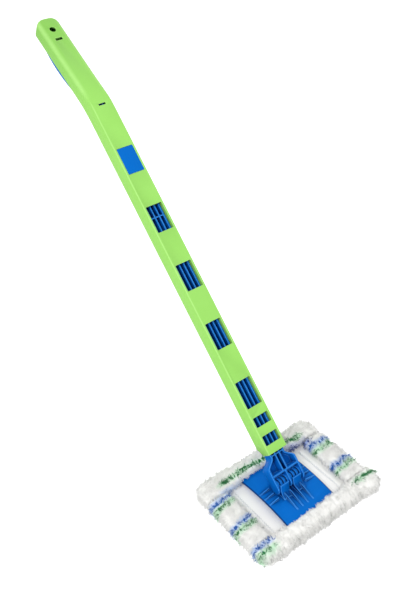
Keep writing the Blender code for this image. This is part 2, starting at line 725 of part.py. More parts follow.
def plate_outline():
    rear = AXIS_BEHIND_CENTRE + PLATE_REAR
    ys = [rear - PLATE_LENGTH * step / PLATE_STEPS for step in range(PLATE_STEPS + 1)]
    top = [(y, plate_height(y)) for y in ys]
    under = [(y, plate_height(y, -PLATE_THICKNESS)) for y in reversed(ys)]
    return top + under


def claw_outline():
    """An open ring round the barrel on a solid foot, with a concave ramp up its front."""
    inner = DISC_DIAMETER / 2 + GAP
    outer = inner + CLAW_WALL
    below = -PLATE_BELOW_AXIS - SINK
    tip = (CLAW_TIP_AHEAD, CLAW_TIP_HEIGHT)
    bow = (CLAW_TIP_AHEAD + CLAW_WALL / 3, -PLATE_BELOW_AXIS + CLAW_WALL)
    foot = (CLAW_FOOT, -PLATE_BELOW_AXIS + SINK / 2)
    points = [(-outer, below), (CLAW_FOOT, below)]
    for share in (step / RAMP_STEPS for step in range(RAMP_STEPS + 1)):
        weights = ((1 - share) ** 2, 2 * share * (1 - share), share**2)
        points.append(tuple(sum(w * p[k] for w, p in zip(weights, (foot, bow, tip))) for k in (0, 1)))
    points += arc((0, 0), inner, CLAW_OPEN_FRONT, CLAW_OPEN_REAR - 2 * math.pi, CLAW_STEPS)
    points += arc((0, 0), outer, CLAW_OPEN_REAR - 2 * math.pi, -math.pi, 2)
    return [from_axis(*point) for point in points]


def make_head_plate(finish):
    plate = part("head_plate", prism(plate_outline(), PLATE_WIDTH, SIDEWAYS), finish)
    for side, name in ((-1, "left_claw"), (1, "right_claw")):
        place = Matrix.Translation((side * BAY_AT, 0, 0)) @ SIDEWAYS
        join(plate, prism(claw_outline(), CLAW_WIDTH, place), name)
    floor = -PLATE_BELOW_AXIS - SINK
    end_floor = plate_height(from_axis(FIN_END, 0)[0]) - AXIS_HEIGHT - SINK
    fin = [
        from_axis(FIN_START, floor),
        from_axis(FIN_END, end_floor),
        from_axis(FIN_END, end_floor + 2 * SINK),
        from_axis(FIN_START, -PLATE_BELOW_AXIS + FIN_HEIGHT),
    ]
    for number in range(FIN_COUNT):
        across = (number - (FIN_COUNT - 1) / 2) * FIN_SPACING
        place = Matrix.Translation((across, 0, 0)) @ SIDEWAYS
        join(plate, prism(fin, FIN_THICKNESS, place), f"fin_{number}")
    rib_start = YOKE_HALF + RIB_TO_YOKE
    for side in (-1, 1):
        for number, ahead in enumerate(RIB_PLACES):
            y = from_axis(ahead, 0)[0]
            top = plate_height(y)
            rib = [
                (side * rib_start, top - 2 * SINK),
                (side * (PLATE_WIDTH / 2 - RIB_TO_EDGE), top - 2 * SINK),
                (side * (PLATE_WIDTH / 2 - RIB_TO_EDGE), top + SINK),
                (side * rib_start, top + RIB_HEIGHT),
            ]
            place = Matrix.Translation((0, y, 0)) @ FACING
            name = f"rib_{'left' if side < 0 else 'right'}_{number}"
            join(plate, prism(rib, RIB_THICKNESS, place), name)


def pad_layer(name, bottom, thickness, inset, finish):
    corner = PAD_CORNER - inset
    outline = rounded_rectangle(PAD_WIDTH - 2 * inset, PAD_LENGTH - 2 * inset, corner, PAD_CORNER_STEPS)
    return part(name, prism(outline, thickness, Matrix.Translation((0, 0, bottom + thickness / 2))), finish)


def make_pad(plush, foam, cloth, thread):
    face = pad_layer("pad_face", 0, FACE_THICKNESS, 0, plush)
    rounding = face.modifiers.new("soft_edges", "BEVEL")
    rounding.width = FACE_EDGE
    rounding.segments = 2
    rounding.limit_method = "ANGLE"
    rounding.angle_limit = math.radians(60)
    pad_layer("pad_core", CORE_BOTTOM, CORE_THICKNESS, CORE_INSET, foam)
    pad_layer("pad_backing", BACKING_BOTTOM, BACKING_THICKNESS, BACKING_INSET, cloth)
    front = -PAD_LENGTH / 2
    rear = PAD_LENGTH / 2
    make_pocket("front_pocket", front, front + FRONT_BORDER, plush)
    make_pocket("rear_pocket", rear - REAR_BORDER, rear, plush)
    between = (front + FRONT_BORDER + GAP, rear - REAR_BORDER - GAP)
    for side, name in ((-1, "left"), (1, "right")):
        make_side_border(f"{name}_border", side, between, plush)
        hem_out = PAD_WIDTH / 2 - SIDE_BORDER - GAP
        span = sorted((side * hem_out, side * (hem_out - HEM_WIDTH)))
        part(f"{name}_hem", boxes((span, between, (BORDER_BOTTOM, BORDER_BOTTOM + HEM_HEIGHT))), thread)


def layers_room():
    """The space inside the borders' skirt, where the core and the backing lie."""
    width = PAD_WIDTH - 2 * SKIRT
    length = PAD_LENGTH - 2 * SKIRT
    plan = rounded_rectangle(width, length, PAD_CORNER - SKIRT, PAD_CORNER_STEPS)
    bottom = SKIRT_BOTTOM - OVERRUN
    place = Matrix.Translation((0, 0, (bottom + BORDER_BOTTOM) / 2))
    return prism(plan, BORDER_BOTTOM - bottom, place)


def crowned(near, far, bottom, top):
    """A border's section from one edge to the other, round at its two upper edges."""
    radius = BORDER_ROUND
    outline = [(near, bottom), (far, bottom)]
    outline += arc((far - radius, top - radius), radius, 0, math.pi / 2, BORDER_STEPS)
    outline += arc((near + radius, top - radius), radius, math.pi / 2, math.pi, BORDER_STEPS)
    return outline


def make_pocket(name, near, far, finish):
    """A plush border across the pad's whole width, hollowed to take the layers and one end of the plate."""
    section = crowned(near, far, SKIRT_BOTTOM, BORDER_TOP)
    pocket = part(name, prism(section, PAD_WIDTH + 2 * OVERRUN, SIDEWAYS), finish)
    plan = rounded_rectangle(PAD_WIDTH, PAD_LENGTH, PAD_CORNER, PAD_CORNER_STEPS)
    tall = BORDER_TOP - SKIRT_BOTTOM + 2 * OVERRUN
    middle = (BORDER_TOP + SKIRT_BOTTOM) / 2
    combine(pocket, prism(plan, tall, Matrix.Translation((0, 0, middle))), "INTERSECT", "pad_outline")
    cut(pocket, layers_room(), "layers_room")
    rear_end = AXIS_BEHIND_CENTRE + PLATE_REAR + GAP
    front_end = AXIS_BEHIND_CENTRE - PLATE_FRONT - GAP
    ys = [rear_end + (front_end - rear_end) * step / PLATE_STEPS for step in range(PLATE_STEPS + 1)]
    room = [(y, plate_height(y, GAP)) for y in ys]
    room += [(front_end, BORDER_BOTTOM - OVERRUN), (rear_end, BORDER_BOTTOM - OVERRUN)]
    cut(pocket, prism(room, PLATE_WIDTH + 2 * GAP, SIDEWAYS), "plate_room")


def make_side_border(name, side, between, finish):
    outer = PAD_WIDTH / 2
    span = sorted((side * outer, side * (outer - SIDE_BORDER)))
    section = crowned(*span, SKIRT_BOTTOM, BORDER_TOP)
    length = between[1] - between[0]
    place = Matrix.Translation((0, sum(between) / 2, 0)) @ FACING
    border = part(name, prism(section, length, place), finish)
    cut(border, layers_room(), "layers_room")


clear_scene()
MOP = new_collection("telescopic_mop")
HELPERS = new_collection("helpers")
LIME = material("lime_plastic", (0.33, 0.78, 0.13), 0.38)
BLUE = material("blue_plastic", (0.005, 0.13, 0.62), 0.32)
PLUSH = material("white_plush", (0.83, 0.82, 0.77), 0.95)
FOAM = material("white_foam", (0.78, 0.78, 0.74), 0.9)
CLOTH = material("white_cloth", (0.80, 0.80, 0.79), 0.85)
THREAD = material("white_thread", (0.80, 0.80, 0.79), 0.8)

TILT_AXIS = empty("tilt_axis", (0, AXIS_BEHIND_CENTRE, AXIS_HEIGHT), HANDLE_TILT)
LATCH_AXIS = empty("latch_axis", (0, LATCH_ROOT_RUN, STRIP_BOTTOM), parent=TILT_AXIS)
make_handle_tube(LIME, TILT_AXIS)
make_grip_cover(BLUE, TILT_AXIS)
make_arm(BLUE, TILT_AXIS)
make_latch(BLUE, LATCH_AXIS)
make_barrel("hinge_barrel_left", -1, BLUE, TILT_AXIS)
make_barrel("hinge_barrel_right", 1, BLUE, TILT_AXIS)
make_head_plate(BLUE)
make_pad(PLUSH, FOAM, CLOTH, THREAD)
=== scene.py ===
# %% [markdown]
# # A telescopic flat mop
#
# The mop is lime green and blue moulded plastic with a white plush pad. Its solids come from CAD and are
# loaded here as a fixed frame, in metres, with the pad on the floor round the origin. The plastic pieces
# get rounded edges and a moulded finish. The pad is made anew as cloth and pile, because a plain solid
# can't look soft.

import json
import math

import bpy
import numpy as np
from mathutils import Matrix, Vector

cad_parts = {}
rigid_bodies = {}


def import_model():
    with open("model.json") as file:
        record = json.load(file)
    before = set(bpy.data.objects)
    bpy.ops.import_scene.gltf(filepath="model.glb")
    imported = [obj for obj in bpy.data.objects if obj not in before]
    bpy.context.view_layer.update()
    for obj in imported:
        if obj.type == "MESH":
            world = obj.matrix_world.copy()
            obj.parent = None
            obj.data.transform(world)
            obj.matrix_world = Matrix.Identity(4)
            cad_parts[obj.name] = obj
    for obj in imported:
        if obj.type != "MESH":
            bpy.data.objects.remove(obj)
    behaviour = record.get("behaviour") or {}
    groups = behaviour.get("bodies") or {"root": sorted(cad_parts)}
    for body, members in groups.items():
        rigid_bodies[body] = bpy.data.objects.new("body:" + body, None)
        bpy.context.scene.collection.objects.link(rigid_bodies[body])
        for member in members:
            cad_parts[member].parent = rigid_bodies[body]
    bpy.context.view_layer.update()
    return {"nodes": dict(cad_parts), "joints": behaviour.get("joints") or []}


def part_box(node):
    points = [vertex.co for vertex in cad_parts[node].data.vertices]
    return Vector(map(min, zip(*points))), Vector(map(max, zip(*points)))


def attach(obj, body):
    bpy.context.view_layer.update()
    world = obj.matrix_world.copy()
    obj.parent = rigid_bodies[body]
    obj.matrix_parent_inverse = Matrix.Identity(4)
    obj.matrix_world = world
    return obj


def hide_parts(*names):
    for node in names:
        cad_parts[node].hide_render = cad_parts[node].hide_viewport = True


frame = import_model()
MM = 0.001


def in_mm(lengths):
    """Lengths in millimetres, for what the cells print."""
    return [round(float(length) / MM, 1) for length in lengths]


# %% [markdown]
# ## Camera
#
# A camera can be set by eye, or worked out from points whose places are known. Here the five equal windows
# of the handle and the corners of the head gave its place, its aim and its lens, so nothing is left to
# taste. The sensor's width counts along the picture's longer side, which is its height.

# %% The photograph's camera
PHOTO_HEIGHT = 601
FOCAL_PIXELS = 767.3
SENSOR = 36
CAMERA_PLACE = (-0.45407, -0.41470, 0.78290)
CAMERA_DEGREES = (52.01, 0.30, -38.03)
NEAREST_SEEN = 50 * MM
bpy.ops.object.camera_add(
    location=CAMERA_PLACE,
    rotation=[math.radians(angle) for angle in CAMERA_DEGREES],
)
camera = bpy.context.object
camera.data.sensor_width = SENSOR
camera.data.lens = FOCAL_PIXELS * SENSOR / PHOTO_HEIGHT
camera.data.clip_start = NEAREST_SEEN
bpy.context.scene.camera = camera
print("lens", round(camera.data.lens, 1), "mm")

# %% [markdown]
# ## Recipes for materials
#
# A material is a small network of nodes. It can be drawn by hand in the shader editor, or written down.
# Written down it is easier to read when the sums look like sums, so one class holds a socket and adds a
# Math node whenever two of them are added or multiplied. Every other node comes from one method, which
# takes the node's type, its settings and what goes into its sockets. The same method serves geometry nodes
# later on.

# %% Sockets that can be used in sums
def plug(tree, socket, value):
    """Links a socket to another one, or sets it to a plain value."""
    if isinstance(value, Signal):
        tree.links.new(value.socket, socket)
    else:
        socket.default_value = value


class Signal:
    """An output socket that takes part in sums."""

    def __init__(self, tree, socket):
        self.tree = tree
        self.socket = socket

    def math(self, operation, *values, clamp=False):
        """A Math node on these values, in this order."""
        node = self.tree.nodes.new("ShaderNodeMath")
        node.operation = operation
        node.use_clamp = clamp
        for socket, value in zip(node.inputs, values):
            plug(self.tree, socket, value)
        return Signal(self.tree, node.outputs[0])

    def __add__(self, other):
        return self.math("ADD", self, other)

    def __sub__(self, other):
        return self.math("SUBTRACT", self, other)

    def __rsub__(self, other):
        return self.math("SUBTRACT", other, self)

    def __mul__(self, other):
        return self.math("MULTIPLY", self, other)

    def __truediv__(self, other):
        return self.math("DIVIDE", self, other)

    def __gt__(self, other):
        return self.math("GREATER_THAN", self, other)

    def __abs__(self):
        return self.math("ABSOLUTE", self)

    __radd__ = __add__
    __rmul__ = __mul__

    def root(self):
        return self.math("SQRT", self)

    def wave(self):
        """A sine wave, from 0 to 1."""
        return self.math("SINE", self) * 0.5 + 0.5

    def clamped(self):
        """Held between 0 and 1."""
        return self.math("ADD", self, 0.0, clamp=True)


print("a signal can be added, subtracted, multiplied, divided and compared")

# %% Nodes by one method, and the few that come up again and again
def find(sockets, key):
    """A socket by its number, by its identifier or, where no identifier fits, by its name."""
    if isinstance(key, int):
        return sockets[key]
    exact = [socket for socket in sockets if socket.identifier == key]
    return (exact or [socket for socket in sockets if socket.name == key])[0]


class Recipe:
    """A tree of nodes, in which every node that isn't a sum is made by one method."""

    def __init__(self, tree):
        self.tree = tree

    def node(self, kind, settings=None, sockets=None, out=0):
        made = self.tree.nodes.new(kind)
        for name, value in (settings or {}).items():
            setattr(made, name, value)
        for name, value in (sockets or {}).items():
            plug(self.tree, find(made.inputs, name), value)
        if made.outputs:
            return Signal(self.tree, find(made.outputs, out))
        return None

    def outputs(self, signal):
        """All that the node of a signal gives out."""
        return [Signal(self.tree, socket) for socket in signal.socket.node.outputs]

    def place(self):
        """Where a point lies on the object, in metres."""
        return self.node("ShaderNodeTexCoord", out="Object")

    def vector(self, operation, first, second, out=0):
        """A Vector Math node on two vectors."""
        inputs = {"Vector": first, "Vector_001": second}
        return self.node("ShaderNodeVectorMath", {"operation": operation}, inputs, out)

    def apart(self, vector):
        """The three parts of a vector."""
        return self.outputs(self.node("ShaderNodeSeparateXYZ", {}, {"Vector": vector}))

    def noise(self, place, size, detail=2.0, roughness=0.5, out=0):
        """Cloudy noise from 0 to 1 whose lumps are about this wide."""
        inputs = {"Vector": place, "Scale": 1 / size, "Detail": detail, "Roughness": roughness}
        return self.node("ShaderNodeTexNoise", {}, inputs, out)

    def mixed(self, factor, first, second):
        """A colour between two others."""
        inputs = {"Factor_Float": factor, "A_Color": first, "B_Color": second}
        return self.node("ShaderNodeMix", {"data_type": "RGBA"}, inputs, "Result_Color")

    def bump(self, height, strength, depth):
        """Small bumps of this depth."""
        inputs = {"Height": height, "Strength": strength, "Distance": depth}
        return self.node("ShaderNodeBump", {}, inputs)


print("recipes ready")

# %% A new material
def rgb(red, green, blue):
    return (red, green, blue, 1.0)


def new_material(name):
    """A material with only its Principled shader, and the recipe that feeds it."""
    made = bpy.data.materials.new(name)
    made.use_nodes = True
    return made, Recipe(made.node_tree), made.node_tree.nodes["Principled BSDF"]


def feed(recipe, shader, sockets):
    """Gives a shader its sockets, from signals or plain values."""
    for name, value in sockets.items():
        plug(recipe.tree, shader.inputs[name], value)


print("materials can be made")

# %% [markdown]
# ## The handle's own directions
#
# The handle slopes, so its places are easier to give along it than in X, Y and Z. The joints in the frame
# tell where the hinge is and which way the tube slides. The grip is bent down from there.

# %% Along the tube and along the grip
JOINTS = {joint["name"]: joint for joint in frame["joints"]}
HINGE = Vector(JOINTS["head_tilt"]["pos_m"])
ALONG = Vector(JOINTS["telescope"]["axis"])
UPWARD = Vector((0, -ALONG.z, ALONG.y))
BEND = math.radians(13.3)
BEND_FROM_HINGE = 516 * MM
BEND_ABOVE_HINGE = 0.75 * MM
GRIP_ALONG = ALONG * math.cos(BEND) - UPWARD * math.sin(BEND)
GRIP_UPWARD = UPWARD * math.cos(BEND) + ALONG * math.sin(BEND)
GRIP_START = HINGE + BEND_FROM_HINGE * ALONG + BEND_ABOVE_HINGE * UPWARD
print("hinge", in_mm(HINGE), "mm, bend", in_mm(GRIP_START), "mm")

# %% [markdown]
# ## Moulded plastic
#
# The mop is satin plastic from a steel mould: smooth, with a fine grain, faint cloudiness in the colour and
# uneven gloss where hands have rubbed it. A photograph could be wrapped round it, but noise on Object
# coordinates needs no unwrapping and stays sharp close up.
#
# Strong colours turn deep and dark in a groove, where light goes from wall to wall and takes up more colour
# each time. That shade is painted into the colour here. A texture could paint it, but an Ambient Occlusion
# node finds every groove by itself: it tells how open a place is to the light, and the colour falls towards
# a dark one, a painted shade, as that goes down.

# %% Colours of the plastics: the usual one, the one of its clouds and the painted shade of its grooves
DARK_GREEN_SHADE = rgb(0.030, 0.160, 0.030)
NAVY_SHADE = rgb(0.0004, 0.012, 0.110)
LIME = (rgb(0.320, 0.700, 0.130), rgb(0.360, 0.745, 0.165), DARK_GREEN_SHADE)
# Edge colours are paler: a painted highlight on the rounded edges
LIME_EDGE_HIGHLIGHT = (rgb(0.420, 0.800, 0.210), rgb(0.460, 0.830, 0.250), DARK_GREEN_SHADE)
BLUE = (rgb(0.0008, 0.135, 0.545), rgb(0.0018, 0.155, 0.600), NAVY_SHADE)
BLUE_EDGE_HIGHLIGHT = (rgb(0.060, 0.330, 0.880), rgb(0.080, 0.360, 0.920), NAVY_SHADE)
print("lime", LIME[0][:3], "blue", BLUE[0][:3])

# %% Satin plastic
CLOUD = 45 * MM
RUB = 9 * MM
RUB_GLOSS = 0.16
GRAIN = 0.5 * MM
GRAIN_DEPTH = 0.05 * MM
GRAIN_STRENGTH = 0.12
SHINE = 0.045
GROOVE_SHADE_REACH = 9 * MM
# How fast the painted groove shade gives way to the colour as a place opens to the light, and how long it
# stays dark before that
FAINT = (1.92, 0.42)
DEEP = (2.55, 1.05)
NEAR = (2.60, 1.55)


def rubbed(recipe, place):
    """Uneven patches from 0 to 1, as use leaves them in the gloss; they also vary the painted edge
    highlight.
    """
    return recipe.noise(place, RUB, 4.0, 0.6)


def plastic(name, colours, roughness, groove_shade_curve=FAINT, painted_marks=None):
    """Satin plastic, whose grooves get painted shade. The last argument is a function that paints highlight
    or shade into its colour in places.
    """
    made, recipe, shader = new_material(name)
    colour, cloud, groove_shade = colours
    place = recipe.place()
    tone = recipe.mixed(recipe.noise(place, CLOUD, 3.0), colour, cloud)
    if painted_marks:
        tone = painted_marks(recipe, place, tone)
    steep, closed = groove_shade_curve
    # Painted shade: the colour falls towards the dark one where the node finds little open light
    settings = {"samples": 8, "only_local": True}
    open_to_light = recipe.node("ShaderNodeAmbientOcclusion", settings, {"Distance": GROOVE_SHADE_REACH}, "AO")
    tone = recipe.mixed((steep * open_to_light - closed).clamped(), groove_shade, tone)
    feed(recipe, shader, {
        "Base Color": tone,
        "Roughness": (roughness + RUB_GLOSS * (rubbed(recipe, place) - 0.5)).clamped(),
        "Specular IOR Level": SHINE,
        "Normal": recipe.bump(recipe.noise(place, GRAIN, 2.0), GRAIN_STRENGTH, GRAIN_DEPTH),
    })
    return made


# Materials for the rounded edges, paler as a painted highlight
lime_edge_highlight = plastic("lime_plastic_painted_edge_highlight", LIME_EDGE_HIGHLIGHT, 0.30)
blue = plastic("blue_plastic_satin", BLUE, 0.36)
blue_edge_highlight = plastic("blue_plastic_painted_edge_highlight", BLUE_EDGE_HIGHLIGHT, 0.30)
print("plastics", [made.name for made in (lime_edge_highlight, blue, blue_edge_highlight)])

# %% [markdown]
# ## Painted highlight and shadow on the handle and the plate
#
# The lime grip darkens a little away from the bend, and the handle's long upper edges get a painted
# highlight.
# The plate's two side edges get a painted shadow. Such marks could be painted by hand, but their places are
# known, so distances say where they are: how far a point lies along the grip, or beside a long edge.

# %% The lime handle
# How far the highlighted edges lie to each side, how high, and how far the painted highlight reaches
TUBE_EDGE = (14.1 * MM, 11.6 * MM, 1.26 * MM)
GRIP_EDGE = (13.2 * MM, 9.2 * MM, 4.48 * MM)
BEND_LENGTH = 20 * MM
GRIP_DARKENING_LENGTH = 150 * MM
LIME_HIGHLIGHT = rgb(0.520, 0.880, 0.300)
GRIP_END_LIME = rgb(0.235, 0.540, 0.100)
GRIP_DARKENING = 0.8
TUBE_HIGHLIGHT, GRIP_HIGHLIGHT = 0.65, 0.7
HIGHLIGHT_LEAST, HIGHLIGHT_MORE = 0.35, 0.5
EDGE_GAIN = 1.4
SIDEWAYS = (1, 0, 0)


def distance_along(recipe, place, start, direction):
    """How far a place lies from a start in one direction."""
    return recipe.vector("DOT_PRODUCT", recipe.vector("SUBTRACT", place, start), direction, "Value")


def long_edge(recipe, place, start, upward, side, height, reach):
    """1 at the two long edges this far to the side and this high, and 0 further away than they reach."""
    beside = abs(distance_along(recipe, place, start, SIDEWAYS)) - side
    above = distance_along(recipe, place, start, upward) - height
    return (EDGE_GAIN * (1 - (beside * beside + above * above).root() / reach)).clamped()


def grip_tone_and_edge_highlight(recipe, place, tone):
    """Darker along the grip away from the bend, with a painted highlight along the long upper edges."""
    from_bend = distance_along(recipe, place, GRIP_START, GRIP_ALONG)
    on_grip = (from_bend / BEND_LENGTH).clamped()
    # Darker along the grip, the further from the bend
    tone = recipe.mixed((from_bend / GRIP_DARKENING_LENGTH).clamped() * GRIP_DARKENING, tone, GRIP_END_LIME)
    tube = long_edge(recipe, place, HINGE, UPWARD, *TUBE_EDGE)
    grip = long_edge(recipe, place, GRIP_START, GRIP_UPWARD, *GRIP_EDGE)
    # Painted highlight along the long upper edges, uneven in patches
    edges = tube * (1 - on_grip) * TUBE_HIGHLIGHT + grip * on_grip * GRIP_HIGHLIGHT
    edges = edges * (HIGHLIGHT_LEAST + HIGHLIGHT_MORE * rubbed(recipe, place))
    return recipe.mixed(edges, tone, LIME_HIGHLIGHT)


lime = plastic("lime_plastic_satin", LIME, 0.40, DEEP, grip_tone_and_edge_highlight)
print("plastic", lime.name)

# %% The blue plate
RIM_WIDTH = 1.3 * MM
RIM_BLEND = 0.5 * MM
RIM_SHADOW = 0.85
PLATE_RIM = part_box("head_plate")[1].x - RIM_WIDTH


def painted_rim_shadow(recipe, place, tone):
    """Painted shadow: navy along the plate's two side edges, where they meet the cloth."""
    past_rim = abs(distance_along(recipe, place, HINGE, SIDEWAYS)) - PLATE_RIM
    return recipe.mixed((past_rim / RIM_BLEND).clamped() * RIM_SHADOW, tone, NAVY_SHADE)


# The plate gets the painted rim shadow, and its face a stronger painted groove shade
plate_blue = plastic("blue_plastic_plate", BLUE, 0.36, NEAR, painted_rim_shadow)
plate_edge_highlight = plastic("blue_plastic_plate_edge", BLUE_EDGE_HIGHLIGHT, 0.30, painted_marks=painted_rim_shadow)
print("plastics", [made.name for made in (plate_blue, plate_edge_highlight)])

# %% [markdown]
# ## Mouldings with round edges
#
# No moulded edge is quite sharp: a small radius catches the light as a thin bright line, which is most of
# what makes plastic look real. A paler material on the rounded edges paints that highlight in more strongly.
# The CAD pieces have sharp edges. Their meshes are loose triangles and belong to the frame, so each is
# copied, its triangles are merged back into flat faces, and a Bevel modifier rounds the copy's edges and
# gives them the paler material, the painted highlight. The copy then stands for the CAD piece.
#
# One polygon can't go round a hole. Before its triangles are merged, the tube is therefore scored across
# the middle of each window and hole, and the merging stops at the scores.

# %% Where the tube is scored
# Along the tube from the hinge, and along the grip from the bend, in mm
FIRST_WINDOW = 114.5
WINDOW_PITCH = 80
WINDOWS = [FIRST_WINDOW + WINDOW_PITCH * number for number in range(5)]
HOLES_FROM_HINGE = (53.7, 78.2, *WINDOWS, 512)
HOLES_FROM_BEND = (101.7, 118)
tube_scores = [(HINGE + run * MM * ALONG, ALONG) for run in HOLES_FROM_HINGE]
grip_scores = [(GRIP_START + run * MM * GRIP_ALONG, GRIP_ALONG) for run in HOLES_FROM_BEND]
print(len(tube_scores), "scores across the tube and", len(grip_scores), "across the grip")

# %% Copies of CAD pieces
WELD = 0.005 * MM
FLAT_ENOUGH = math.radians(0.6)


def pick(*objects):
    """Selects only these objects; the last one is the active one."""
    bpy.ops.object.select_all(action="DESELECT")
    for thing in objects:
        thing.select_set(True)
        bpy.context.view_layer.objects.active = thing


def copy_of(node, name, scores=()):
    """A merged copy of a CAD node, without its material, as an object of its own."""
    source = frame["nodes"][node]
    made = bpy.data.objects.new(name, source.data.copy())
    bpy.context.scene.collection.objects.link(made)
    made.data.materials.clear()
    pick(made)
    if made.data.has_custom_normals:
        bpy.ops.mesh.customdata_custom_splitnormals_clear()
    bpy.ops.object.mode_set(mode="EDIT")
    bpy.ops.mesh.select_all(action="SELECT")
    bpy.ops.mesh.remove_doubles(threshold=WELD)
    for point, direction in scores:
        bpy.ops.mesh.select_all(action="SELECT")
        bpy.ops.mesh.bisect(plane_co=point, plane_no=direction)
        bpy.ops.mesh.mark_seam()
    bpy.ops.mesh.select_all(action="SELECT")
    bpy.ops.mesh.dissolve_limited(angle_limit=FLAT_ENOUGH, delimit={"SEAM"})
    bpy.ops.object.mode_set(mode="OBJECT")
    return made


print("copies are merged to", round(WELD / MM, 3), "mm")

# %% Round the plastic pieces' edges
LARGE_ROUNDING = 0.35 * MM
SMALL_ROUNDING = 0.25 * MM
RIB_ROUNDING = 0.40 * MM
SHARP = math.radians(32)
SMOOTH = math.radians(40)
LIMES = (lime, lime_edge_highlight)
BLUES = (blue, blue_edge_highlight)
PLATE_BLUES = (plate_blue, plate_edge_highlight)


def moulding(node, body, finishes, radius, tight=False, scores=()):
    """A CAD node's copy with rounded edges in a paler material, a painted highlight, which stands for the
    node.
    Tight rounding gives way where edges lie close together."""
    made = copy_of(node, f"{node}_moulding", scores)
    for finish in finishes:
        made.data.materials.append(finish)
    rounding = made.modifiers.new("round_edges", "BEVEL")
    rounding.width = radius
    rounding.segments = 2
    rounding.limit_method = "ANGLE"
    rounding.angle_limit = SHARP
    rounding.use_clamp_overlap = tight
    rounding.material = 1
    rounding.harden_normals = True
    bpy.ops.object.modifier_apply(modifier=rounding.name)
    bpy.ops.object.shade_smooth_by_angle(angle=SMOOTH)
    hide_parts(node)
    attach(made, body)
    print(made.name, len(made.data.polygons), "faces")


moulding("handle_tube", "handle", LIMES, LARGE_ROUNDING, scores=tube_scores + grip_scores)
moulding("grip_cover", "handle", BLUES, SMALL_ROUNDING, tight=True, scores=grip_scores)
moulding("arm", "arm", BLUES, RIB_ROUNDING)
moulding("hinge_barrel_left", "arm", BLUES, SMALL_ROUNDING)
moulding("hinge_barrel_right", "arm", BLUES, SMALL_ROUNDING)
moulding("latch_tongue", "latch", BLUES, SMALL_ROUNDING, tight=True)
moulding("head_plate", "head", PLATE_BLUES, RIB_ROUNDING)

# %% [markdown]
# ## The pad's soft body
#
# The pad is a plush cloth sewn into a flat slab with four padded borders. Each could be modelled as a
# rounded block, but stuffing pushes cloth out between its seams, and a cloth simulation with a little
# pressure gives that for free. Each CAD solid is copied, remeshed into even squares, shrunk by as much as
# it may swell, and blown up. A point that would move too far is held back, so each body stays in the space
# of its CAD solid.

# %% Places of a mesh's points
# The least length that anything is divided by
TINY = 1e-9


def coordinates(thing):
    values = np.empty(len(thing.data.vertices) * 3)
    thing.data.vertices.foreach_get("co", values)
    return values.reshape(-1, 3)


def set_coordinates(thing, places):
    thing.data.vertices.foreach_set("co", places.ravel())
    thing.data.update()


print("the core has", len(coordinates(frame["nodes"]["pad_core"])), "points")

# %% Remesh and shrink the five soft solids
FACE_SWELL = 1.2 * MM
BORDER_SWELL = 2.6 * MM
SWELL = {
    "pad_face": FACE_SWELL,
    "front_pocket": BORDER_SWELL,
    "rear_pocket": BORDER_SWELL,
    "left_border": BORDER_SWELL,
    "right_border": BORDER_SWELL,
}
VOXEL = 3.0 * MM


def soft_start(node):
    """An evenly meshed copy of a soft solid, smaller all round by the swell."""
    made = copy_of(node, f"{node}_plush")
    remesh = made.modifiers.new("even_mesh", "REMESH")
    remesh.mode = "VOXEL"
    remesh.voxel_size = VOXEL
    bpy.ops.object.modifier_apply(modifier=remesh.name)
    even = made.modifiers.new("relax", "SMOOTH")
    even.iterations = 4
    bpy.ops.object.modifier_apply(modifier=even.name)
    shrink = made.modifiers.new("shrink", "DISPLACE")
    shrink.strength = -SWELL[node]
    shrink.mid_level = 0
    bpy.ops.object.modifier_apply(modifier=shrink.name)
    return made


soft = {node: soft_start(node) for node in SWELL}
print("soft bodies", {node: len(made.data.vertices) for node, made in soft.items()})

# %% Blow them up like cushions
PRESSURE = 4.0
LAST_FRAME = 20


def blow_up(bodies):
    """Swells closed meshes by cloth simulation, with no point moving further than the swell."""
    starts = {node: coordinates(made) for node, made in bodies.items()}
    for made in bodies.values():
        cloth = made.modifiers.new("stuffing", "CLOTH")
        cloth.settings.use_pressure = True
        cloth.settings.uniform_pressure_force = PRESSURE
        cloth.settings.effector_weights.gravity = 0
        cloth.point_cache.frame_end = LAST_FRAME
    for number in range(1, LAST_FRAME + 1):
        bpy.context.scene.frame_set(number)
    for node, made in bodies.items():
        pick(made)
        bpy.ops.object.modifier_apply(modifier="stuffing")
        move = coordinates(made) - starts[node]
        far = np.linalg.norm(move, axis=1, keepdims=True)
        print(made.name, "swells by and is held back to", in_mm((far.mean(), SWELL[node])), "mm")
        set_coordinates(made, starts[node] + move * np.minimum(1, SWELL[node] / np.maximum(far, TINY)))
    bpy.context.scene.frame_set(1)


blow_up(soft)

# %% Lumps in the stuffing
LUMP_SIZE = 11 * MM
LUMP_DEPTH = 1.6 * MM
lumps = bpy.data.textures.new("stuffing_lumps", "CLOUDS")
lumps.noise_scale = LUMP_SIZE
for made in soft.values():
    pick(made)
    uneven = made.modifiers.new("lumps", "DISPLACE")
    uneven.texture = lumps
    uneven.texture_coords = "LOCAL"
    uneven.strength = LUMP_DEPTH
    bpy.ops.object.modifier_apply(modifier=uneven.name)
    finer = made.modifiers.new("finer", "SUBSURF")
    finer.levels = 1
    finer.render_levels = 1
    bpy.ops.object.modifier_apply(modifier=finer.name)
    bpy.ops.object.shade_smooth()
    print(made.name, len(made.data.polygons), "faces")

# %% [markdown]
# ## The worn pad's outline
#
# A used pad isn't a true rectangle. Its underside is pressed flat on the floor. The side borders' ends
# reach a little into the front and rear ones, because the plush runs on over the seams. The stuffing has
# moved to the right, and the corners have been pulled about. All this could be sculpted by hand. In numbers
# a smooth ramp does it: 0 where a body stays as it is, 1 where it has moved all the way, and no kink in
# between.

